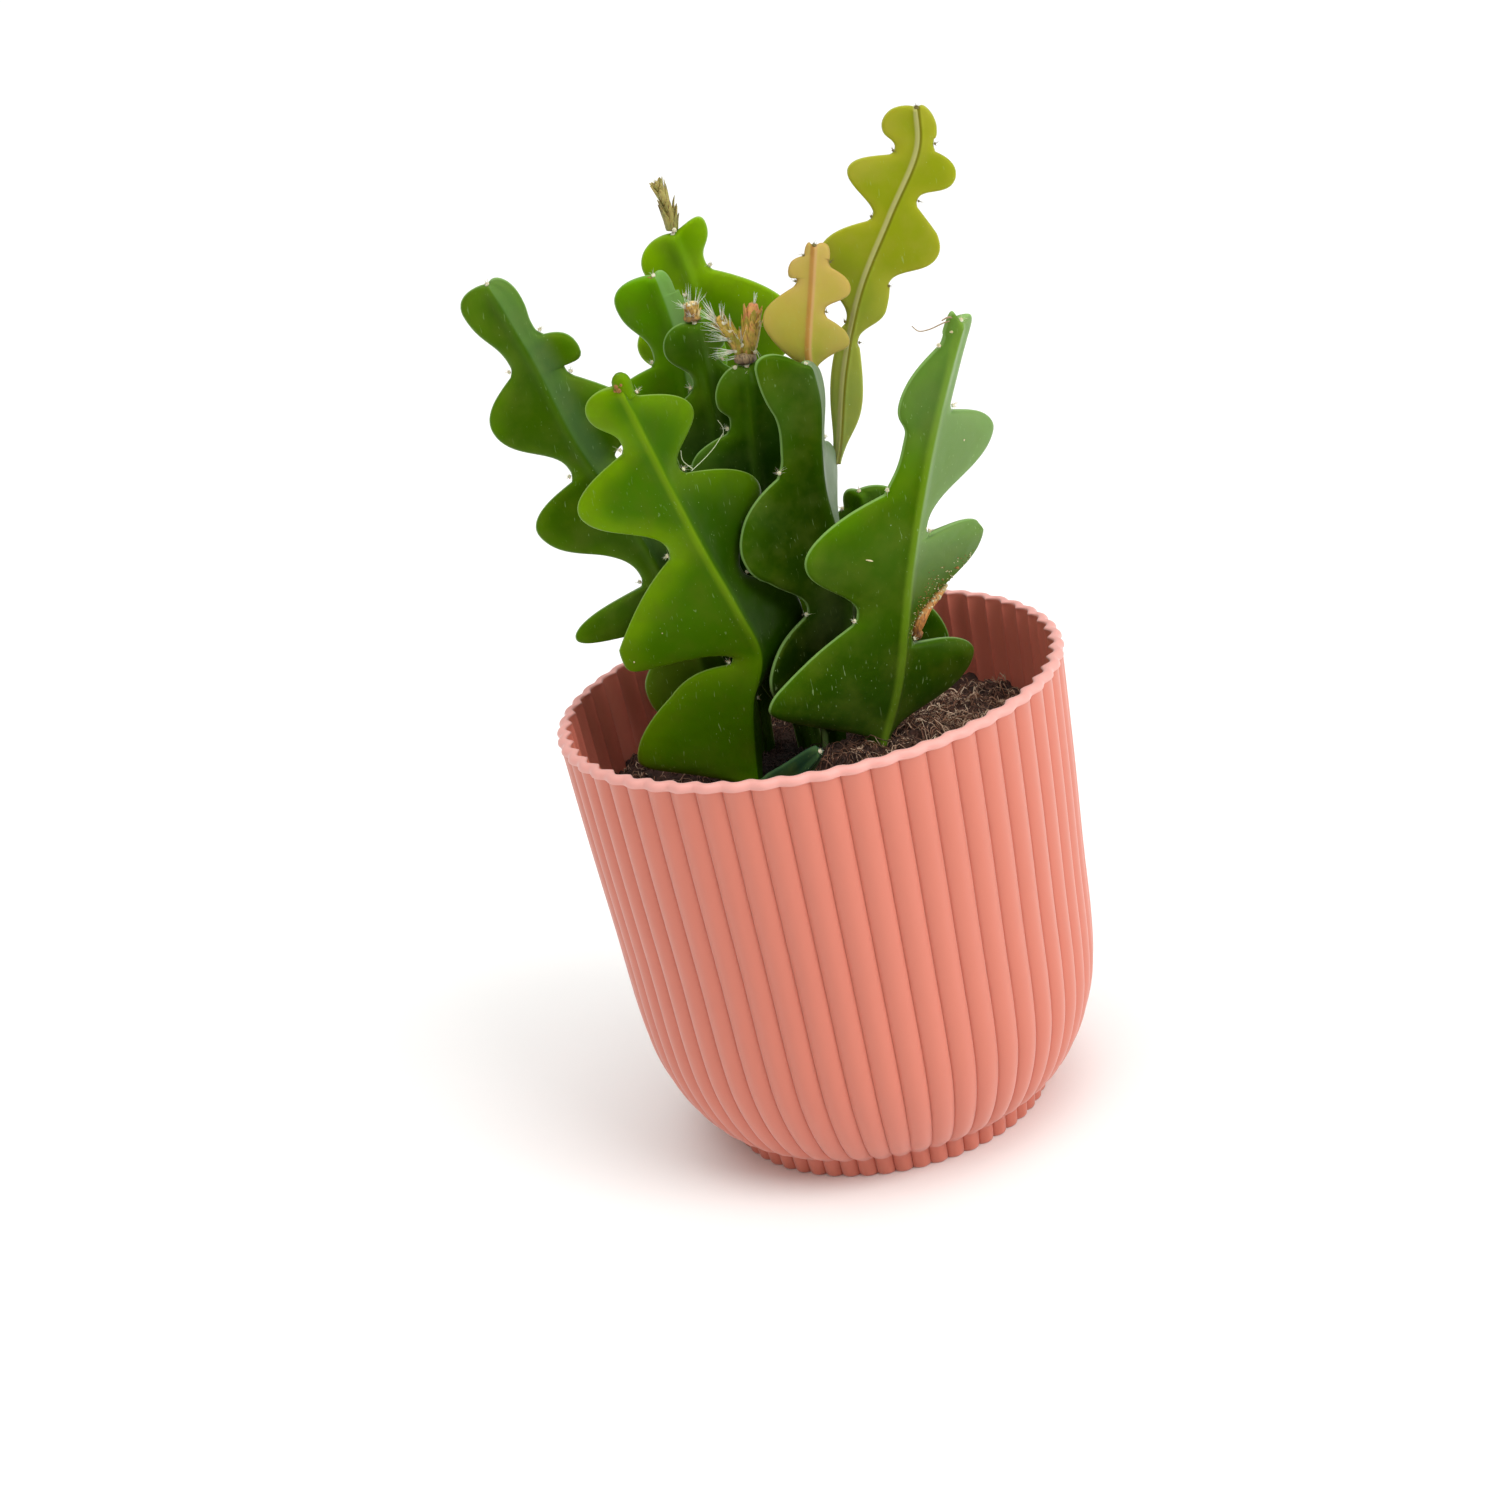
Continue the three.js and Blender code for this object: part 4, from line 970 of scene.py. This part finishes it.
# Dried petal thread: shrunken to a hard, dull brown string
dry_thread = flecked("dried_flower_thread", "6E5A44", "B89A74", 3, 0.7)
add_mesh("flower_thread", *bundle([
    curved_thread([(54.0, -31.6, 228.4), (51.0, -32.0, 228.2), (47.2, -32.4, 227.4), (44.4, -32.6, 227.6),
                   (43.0, -32.6, 229.2)], 0.2),
    curved_thread([(54.4, -31.4, 228.0), (52.6, -32.2, 229.4), (50.6, -32.6, 229.0)], 0.3),
]), dry_thread, "stem_sheen")
# Bleached fibre: straw that has lost its brown, half glossy, tinted green as painted light bounced from the
# stems round it
pale_fibre = flecked("pale_clinging_fibre", "A8B884", "E4EAC6", 4, 0.5)
add_mesh("clinging_fibres", *bundle([
    curved_thread([(-9.2, 8.2, 201.6), (-11.6, 1, 200.7), (-14.3, -7, 200.4), (-18.7, -18.6, 200.4)], 0.15),
    curved_thread([(-9.3, 8.0, 200.8), (-8.9, 7.8, 203.2), (-9.9, 7.9, 205.6)], 0.11),
    curved_thread([(-18.4, -17.4, 200.4), (-20.5, -18.6, 203.6), (-20.4, -19.2, 206.4)], 0.12),
]), pale_fibre, "stem_dark")


# New growth at the tip of the front left stem: a round green nub that will be the next lobe, grown out of the
# stem's own skin, with an orange-brown scar at its side where a bud came off
def stub(path, ribs=0, depth=0.0, sides=24):
    """A round body along points of x, y, z and radius, ribbed if asked, with its share of the length."""
    rows = smooth_path(path, 7)
    way = np.gradient(rows[:, :3], axis=0)
    way /= np.linalg.norm(way, axis=1)[:, None]
    turn = 2 * np.pi * np.arange(sides) / sides
    points, share = [rows[0, :3]], [0.0]
    for index, (row, axis) in enumerate(zip(rows, way)):
        across = np.cross((0, 1, 0), axis)
        across /= np.linalg.norm(across)
        other = np.cross(axis, across)
        reach = row[3] * (1 + depth * np.cos(ribs * turn) + random.normal(0, 0.012, sides))
        points += list(row[:3] + (reach * np.cos(turn))[:, None] * across
                       + (reach * np.sin(turn))[:, None] * other)
        share += [index / (len(rows) - 1)] * sides
    points.append(rows[-1, :3])
    return points, ring_faces(len(rows), sides), [*share, 1.0]


points, faces, _ = stub([(-30.2, -27.5, 224.6, 1.7), (-30.8, -27.8, 226.6, 2.3), (-31.2, -28, 228.6, 2.5),
                         (-31.4, -28.1, 230.3, 2.1), (-31.5, -28.2, 231.4, 1.0)])
add_mesh("front_left_nub", points, faces, front_skin, "stem_bright",
         {"edge": [4.0] * len(points), "rib": [9.0] * len(points), "along": [1.0] * len(points)})
scar = [cushion(np.array(spot), np.array((-0.4, -1, 0.1)), size) for spot, size in (
    ((-32.6, -29.8, 228.6), 0.8), ((-32.2, -30.2, 227.5), 0.7), ((-33.1, -29.2, 227.4), 0.6),
    ((-31.4, -30.5, 228.9), 0.45))]
add_mesh("front_left_scar", *bundle(scar), brown_cork, "stem_bright")


# Buds: three stem tips end in this year's or last year's flower bud, a ribbed stub under narrow overlapping
# scales, with a fan of fine white spines from each of its own spine spots. One has dried out.
def scale_leaf(root, way, outward, length, width, lift, tone):
    """A pointed dry scale that starts at root, lies along way and lifts its tip outward."""
    way = np.asarray(way, float) / np.linalg.norm(way)
    outward = np.asarray(outward, float) - way * np.dot(way, outward)
    outward /= np.linalg.norm(outward)
    across = np.cross(way, outward)
    points = [root - 0.1 * length * way]
    for t in (0, 0.2, 0.4, 0.6, 0.8, 0.95):
        centre = root + way * length * t + outward * (0.15 + lift * t ** 1.6)
        half = 0.5 * width * math.sin(math.pi * (0.22 + 0.76 * t)) ** 0.8 + 0.03
        for turn in np.arange(8) * 2 * np.pi / 8:
            thick = 0.05 + 0.16 * (1 - t)
            points.append(centre + half * math.cos(turn) * across
                          + (thick * math.sin(turn) - 0.35 * half * math.cos(turn) ** 2) * outward)
    points.append(root + way * length * 1.03 + outward * (0.1 + lift))
    return points, ring_faces(6, 8), [tone] * len(points)


def scaled_bud(path, rings, width, lift, ribs=0, depth=0.0):
    """Stub and scales of one bud. A ring of scales is share of the length, count, length and first angle."""
    parts = [stub(path, ribs, depth)]
    rows = smooth_path(path, 20)
    for share, count, length, first in rings:
        at = int(share * (len(rows) - 2))
        way = rows[min(at + 6, len(rows) - 1), :3] - rows[max(at - 6, 0), :3]
        way /= np.linalg.norm(way)
        across = np.cross((0, 1, 0), way)
        across /= np.linalg.norm(across)
        other = np.cross(way, across)
        for k in range(count):
            angle = math.radians(first + 360 * k / count + random.normal(0, 7))
            outward = math.cos(angle) * across + math.sin(angle) * other
            parts.append(scale_leaf(rows[at, :3] + 0.86 * rows[at, 3] * outward, way + 0.1 * outward, outward,
                                    length * random.uniform(0.85, 1.15), width * random.uniform(0.85, 1.1),
                                    lift * random.uniform(0.4, 1.3), random.uniform(0.15, 0.8)))
    return parts


def spine_fan(root, way, count, length, spread, radius=0.1):
    """Fine straight spines from one spot, in a fan about a direction."""
    parts = []
    way = np.asarray(way, float) / np.linalg.norm(way)
    for _ in range(count):
        lean = way + random.normal(0, spread, 3)
        parts.append(hair(np.asarray(root) + random.normal(0, 0.25, 3), lean,
                          length * random.uniform(0.6, 1.1), radius * random.uniform(0.6, 1.1), 0.06))
    return parts


def bud_skin(name, low, middle, high, crease_and_shade):
    """Dry, fibrous bud skin that changes colour from its foot to its tip, with dark lengthwise creases, brown
    in the tissue and darkened further as painted shade in the folds.
    """
    material, tree, shader = new_material(name)
    place = add(tree, "TexCoord").outputs["Object"]
    share = add(tree, "Attribute", attribute_name="share").outputs["Fac"]
    blur = add(tree, "TexNoise", {"Vector": place, "Scale": 1 / (1.6 * MM)})
    shift = add(tree, "MapRange", {"Value": blur, "From Min": 0.3, "From Max": 0.7, "To Min": -0.25,
                                   "To Max": 0.25})
    spot = add(tree, "Math", {0: share, 1: shift}, operation="ADD")
    ramp = add(tree, "ValToRGB", {"Fac": spot})
    ramp.color_ramp.elements[0].position, ramp.color_ramp.elements[0].color = 0.1, linear(low)
    ramp.color_ramp.elements[1].position, ramp.color_ramp.elements[1].color = 0.95, linear(high)
    ramp.color_ramp.elements.new(0.55).color = linear(middle)
    narrow = add(tree, "Mapping", {"Vector": place, "Scale": (1.0, 1.0, 0.15)})
    streak = add(tree, "TexNoise", {"Vector": narrow, "Scale": 1 / (0.5 * MM)})
    # Creases: brown tissue, darkened further as painted shade where the folds go in
    creased = add(tree, "MapRange", {"Value": streak, "From Min": 0.48, "From Max": 0.34, "To Max": 0.75})
    skin = add(tree, "Mix", {0: creased, "A": ramp, "B": linear(crease_and_shade)}, data_type="RGBA")
    fold = add(tree, "Bump", {"Height": streak, "Strength": 0.6, "Distance": 0.3 * MM})
    connect(shader, {"Base Color": skin, "Normal": fold, "Roughness": 0.6, "Subsurface Weight": 0.1,
                     "Subsurface Scale": 0.5 * MM})
    return material


# Dried bud: shrivelled olive-straw scales with cream, frayed tips and brown folds, darkened further as
# painted shade
dried_path = [(-12.05, 46, 251.1, 1.6), (-11.9, 46, 253.2, 2.0), (-12.0, 46, 255.8, 1.8),
              (-12.3, 46, 258.4, 1.2), (-12.8, 46, 261, 1.5), (-13.3, 46, 263.2, 1.1), (-13.7, 46, 265, 0.5)]
dried = scaled_bud(dried_path, [(0.04, 6, 4.6, 10), (0.2, 6, 4.6, 40), (0.36, 5, 4.0, 0), (0.52, 6, 4.4, 30),
                                (0.66, 5, 4.2, 0), (0.8, 4, 3.0, 50)], 1.9, 0.75)
points, faces, share = bundle(dried)
dried_skin = bud_skin("dried_bud_scales", low="8E8A48", middle="A79A4E", high="B7A760", crease_and_shade="6B4A22")
dry_bud = add_mesh("dried_bud", points, faces, dried_skin, "bud_dried", {"share": share})
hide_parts("bud_dried")
dried_wool = cushion(np.array((-11.4, 44.2, 251.3)), np.array((0.2, -1, 0)), 0.7)
dried_fringe = spine_fan((-13.5, 46, 264.4), (-0.3, -0.1, 1), 10, 1.8, 0.35, 0.09)
add_mesh("dried_bud_wool", *bundle([dried_wool, *dried_fringe]), plant_wool, "bud_dried")

# Bud spines: white, glassy and as fine as thread
white_spine = flecked("white_bud_spine", "D6D2B4", "F6F5EC", 2, 0.35, glow=0.3, glow_depth=0.4)

# Woolly bud: a short ochre stub framed in cream felt on a brown disc, with long spines that stand up from it
woolly_path = [(-11.2, 20, 230.9, 2.1), (-11.15, 20, 231.6, 2.2), (-11.0, 20, 232.3, 1.7),
               (-10.8, 20, 233.8, 1.75), (-10.6, 20, 235.2, 1.5), (-10.5, 20, 235.9, 0.9)]
woolly = scaled_bud(woolly_path, [(0.3, 7, 2.6, 20), (0.55, 6, 2.4, 50)], 1.3, 0.3, 6, 0.08)
points, faces, share = bundle(woolly)
# Dry felted skin: brown at the disc, ochre on the stub and cream at the rim
woolly_skin = bud_skin("woolly_bud_skin", low="7A5A34", middle="C79C3E", high="E6CE92", crease_and_shade="8A6A2C")
woolly_bud = add_mesh("woolly_bud", points, faces, woolly_skin, "bud_woolly", {"share": share})
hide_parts("bud_woolly")
felt = [cushion(np.array((-10.7 + 1.5 * math.cos(a), 20 + 1.5 * math.sin(a), 235.3)),
                np.array((0.0, 0, 1)), 0.65) for a in np.arange(6) * math.pi / 3]
add_mesh("woolly_bud_felt", *bundle(felt), plant_wool, "bud_woolly")
spines = spine_fan((-11.2, 19, 234.8), (0.02, -0.15, 1), 9, 6.4, 0.12)
spines += spine_fan((-12.2, 19.4, 234.4), (-0.7, -0.2, 1), 9, 5.0, 0.3)
spines += spine_fan((-9.6, 19.2, 234.6), (0.7, -0.2, 0.9), 9, 5.0, 0.3)
spines += spine_fan((-11.0, 18.4, 232.2), (0.1, -1, 0.5), 7, 3.4, 0.45)
add_mesh("woolly_bud_spines", *bundle(spines), white_spine, "bud_woolly")

# Pair of golden buds on one woody disc: one leans left under many spines, one stands up and opens orange
disc = [(0.45, 10.3, 218.9, 2.3), (0.5, 10.3, 219.4, 2.9), (0.6, 10.4, 220.1, 3.0), (0.6, 10.5, 220.8, 2.6),
        (0.7, 10.6, 221.4, 1.6)]
leaning = [(0.1, 10.6, 220.6, 1.5), (-0.5, 10.7, 223, 1.7), (-1.0, 10.8, 225.2, 1.9),
           (-2.2, 10.9, 227.8, 1.8), (-3.4, 11, 230.0, 1.7), (-4.6, 11, 232, 1.1)]
upright = [(1.5, 10.6, 220.6, 1.5), (2.3, 10.7, 223, 2.1), (3.1, 10.8, 225.6, 2.4), (4.0, 10.9, 228.4, 2.4),
           (4.8, 11, 231.2, 2.0), (5.6, 11, 233.8, 1.1)]
disc_parts = [stub(disc, 9, 0.05)]
leaning_parts = scaled_bud(leaning, [(0.1, 6, 4.0, 0), (0.32, 6, 3.8, 30), (0.55, 6, 3.6, 0),
                                     (0.76, 5, 3.0, 30)], 1.7, 0.35, 7, 0.06)
upright_parts = scaled_bud(upright, [(0.05, 7, 5.0, 0), (0.25, 7, 5.4, 25), (0.46, 6, 5.2, 0),
                                     (0.66, 6, 4.4, 30)], 2.0, 0.3, 8, 0.06)
# The leaning bud is the younger one and stays ochre up to its tip
leaning_parts = [(points, faces, [0.5 * one for one in share]) for points, faces, share in leaning_parts]
points, faces, share = bundle(leaning_parts + upright_parts)
# Living bud scales: olive at the foot, golden in the middle and orange where the petals push through
golden_skin = bud_skin("golden_bud_scales", low="938A22", middle="C6A044", high="CC8650", crease_and_shade="74501C")
golden = add_mesh("golden_buds", points, faces, golden_skin, "bud_golden", {"share": share})
points, faces, share = bundle(disc_parts)
# Old flower scar: grey-brown bark, creased like dry wood
woody = bud_skin("woody_bud_disc", low="5A4630", middle="8A7250", high="A8926A", crease_and_shade="3A2A18")
add_mesh("woody_disc", points, faces, woody, "bud_golden", {"share": share})
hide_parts("bud_pair")
fans = []
for root, way, count, length in (
        ((-1.6, 9.2, 222.6), (-1, -0.25, 0.15), 15, 7.2), ((-2.2, 9.6, 225.6), (-1, -0.3, 0.55), 16, 6.8),
        ((-3.6, 9.8, 228.4), (-0.9, -0.3, 0.75), 18, 6.6), ((-4.8, 10.2, 230.8), (-0.8, -0.3, 1.0), 18, 6.4),
        ((-5.0, 10.6, 232.2), (-0.4, -0.1, 1), 14, 6.2), ((-3.4, 9.6, 231.6), (0.1, -0.3, 1), 10, 5.6),
        ((-1.8, 9.6, 228.6), (0.1, -0.3, 1), 9, 5.0), ((0.6, 9.4, 224.4), (0.0, -0.3, 1), 6, 6.4),
        ((-1.6, 9.4, 221.0), (-1, -0.2, 0.0), 4, 4.4), ((5.8, 10.6, 233.6), (0.3, -0.1, 1), 7, 3.4),
        ((5.6, 9.6, 228.0), (0.5, -0.5, 0.6), 5, 2.6), ((3.6, 9.6, 221.6), (0.25, -0.2, -1), 4, 3.0)):
    fans += spine_fan(root, way, count, length, 0.17)
add_mesh("golden_bud_spines", *bundle(fans), white_spine, "bud_golden")
felt = []
for spot in ((-1.5, 9.3, 222.7), (-2.3, 9.5, 225.6), (-3.7, 9.8, 228.5), (-5.0, 10.3, 230.9),
             (-3.2, 9.5, 230.6), (-1.9, 9.3, 228.2), (0.6, 9.3, 223.9), (5.7, 9.8, 228.2),
             (5.2, 9.8, 231.4), (3.6, 9.2, 221.4), (0.1, 8.0, 216.6), (-2.5, 8.9, 218.4)):
    felt += spine_spot(np.array(spot), np.array((0, -1, 0.3)), 0.6, 8)
add_mesh("golden_bud_felt", *bundle(felt), plant_wool, "bud_golden")


# Dried root: an aerial root that grew out of a notch of the right front stem, lies along the lobe above it
# and has died back, a brittle orange-brown stick with a knob at its foot and pale, crumbling bark
holder = grown["stem_front_right"]
root_path = []
for along, radius in ((27.0, 0.9), (27.9, 1.4), (29.2, 1.55), (30.6, 1.25), (32.4, 1.5), (34.4, 1.4),
                      (36, 1.15), (37.4, 1.05), (38.8, 0.8), (40.0, 0.35)):
    here, after = np.array(holder.edge(1, along)), np.array(holder.edge(1, along + 1))
    step = (after - here) / np.linalg.norm(after - here)
    spot = here + (radius + 0.75) * np.array((-step[1], step[0]))
    root_path.append((*holder.place(1, [spot[0]], [spot[1]], [0.0])[0], radius))
points, faces, share = stub(root_path, 5, 0.07)
# Root bark: dark and damp at the foot, bare orange in the middle, tan and dry at the end
root_bark = bud_skin("dried_root_bark", low="52300F", middle="C8823A", high="BC9656", crease_and_shade="5E3616")
dry_root = add_mesh("dried_root", points, faces, root_bark, "root_dried", {"share": share})
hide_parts("root_dried")
crust = []
rows = smooth_path(root_path, 12)
for _ in range(46):
    at = int(len(rows) * random.uniform(0.5, 0.99))
    lean = random.normal(0, 1, 3) + (0, -1.2, 0)
    lean /= np.linalg.norm(lean)
    crust.append(cushion(rows[at, :3] + 0.95 * rows[at, 3] * lean, lean, random.uniform(0.22, 0.5)))
add_mesh("dried_root_crust", *bundle(crust), cork, "root_dried")
knob = [cushion(rows[at, :3] + (dx, -0.9, dz), np.array((dx, -1, dz)), size) for at, dx, dz, size in (
    (5, -0.5, 0.0, 0.75), (9, 0.6, 0.3, 0.8), (14, -0.3, 0.5, 0.7), (20, 0.5, 0.2, 0.55))]
add_mesh("dried_root_knob", *bundle(knob), brown_cork, "root_dried")


# Studio: a pale table in a white room, with a large window at the right front, a weaker one at the left,
# and soft daylight from above and from the right
floor_mesh = bpy.data.meshes.new("studio_table")
floor_mesh.from_pydata([(-40, -40, 0), (40, -40, 0), (40, 40, 0), (-40, 40, 0)], [], [(0, 1, 2, 3)])
floor = bpy.data.objects.new("studio_table", floor_mesh)
bpy.context.scene.collection.objects.link(floor)
# Paper backdrop: near white and matt, so that only the soft shadow shows on it
paper, tree, shader = new_material("white_paper")
connect(shader, {"Base Color": linear("F7F7F5"), "Roughness": 0.9})
floor_mesh.materials.append(paper)


def add_lamp(name, kind, power, **settings):
    """A lamp with its settings, as an object."""
    light = bpy.data.lights.new(name, kind)
    light.energy = power
    for key, value in settings.items():
        setattr(light, key, value)
    lamp = bpy.data.objects.new(name, light)
    bpy.context.scene.collection.objects.link(lamp)
    return lamp


for name, spot, target, size, power, colour in (
        ("window_right", (1.15, -0.55, 0.62), (0, 0, 0.18), 1.0, 7.2, (0.93, 0.99, 1)),
        ("window_left", (-1.2, -1.0, 0.9), (0, 0, 0.15), 1.2, 4, (1, 0.97, 0.92))):
    window = add_lamp(name, "AREA", power, shape="DISK", size=size, color=colour)
    window.location = spot
    window.rotation_mode = "QUATERNION"
    window.rotation_quaternion = (Vector(target) - Vector(spot)).to_track_quat("-Z", "Y")
add_lamp("skylight", "SUN", 2.2, angle=math.radians(70))
key_light = add_lamp("key", "SUN", 1.1, angle=math.radians(30))
key_light.rotation_euler = (math.radians(30), math.radians(36), 0)
world = bpy.data.worlds.new("white_room")
world.use_nodes = True
connect(world.node_tree.nodes["Background"], {"Color": (1, 1, 1, 1), "Strength": 0.26})
bpy.context.scene.world = world
bpy.context.scene.view_settings.view_transform = "Standard"

# Camera: where the photograph was taken from, 0.73 m from the rim, 20 degrees above it and turned about
# its own axis
camera_data = bpy.data.cameras.new("camera")
camera_data.sensor_width = 36
camera_data.lens = 63.6
camera = bpy.data.objects.new("camera", camera_data)
right = Vector((0.97989538, -0.04665434, -0.19398047))
up = Vector((0.19773683, 0.35651393, 0.91312538))
forward = Vector((-0.02655548, 0.93312442, -0.35857164))
camera.matrix_world = Matrix((right, up, -forward)).transposed().to_4x4()
camera.location = (0, -0.6869, 0.37785)
bpy.context.scene.collection.objects.link(camera)
bpy.context.scene.camera = camera
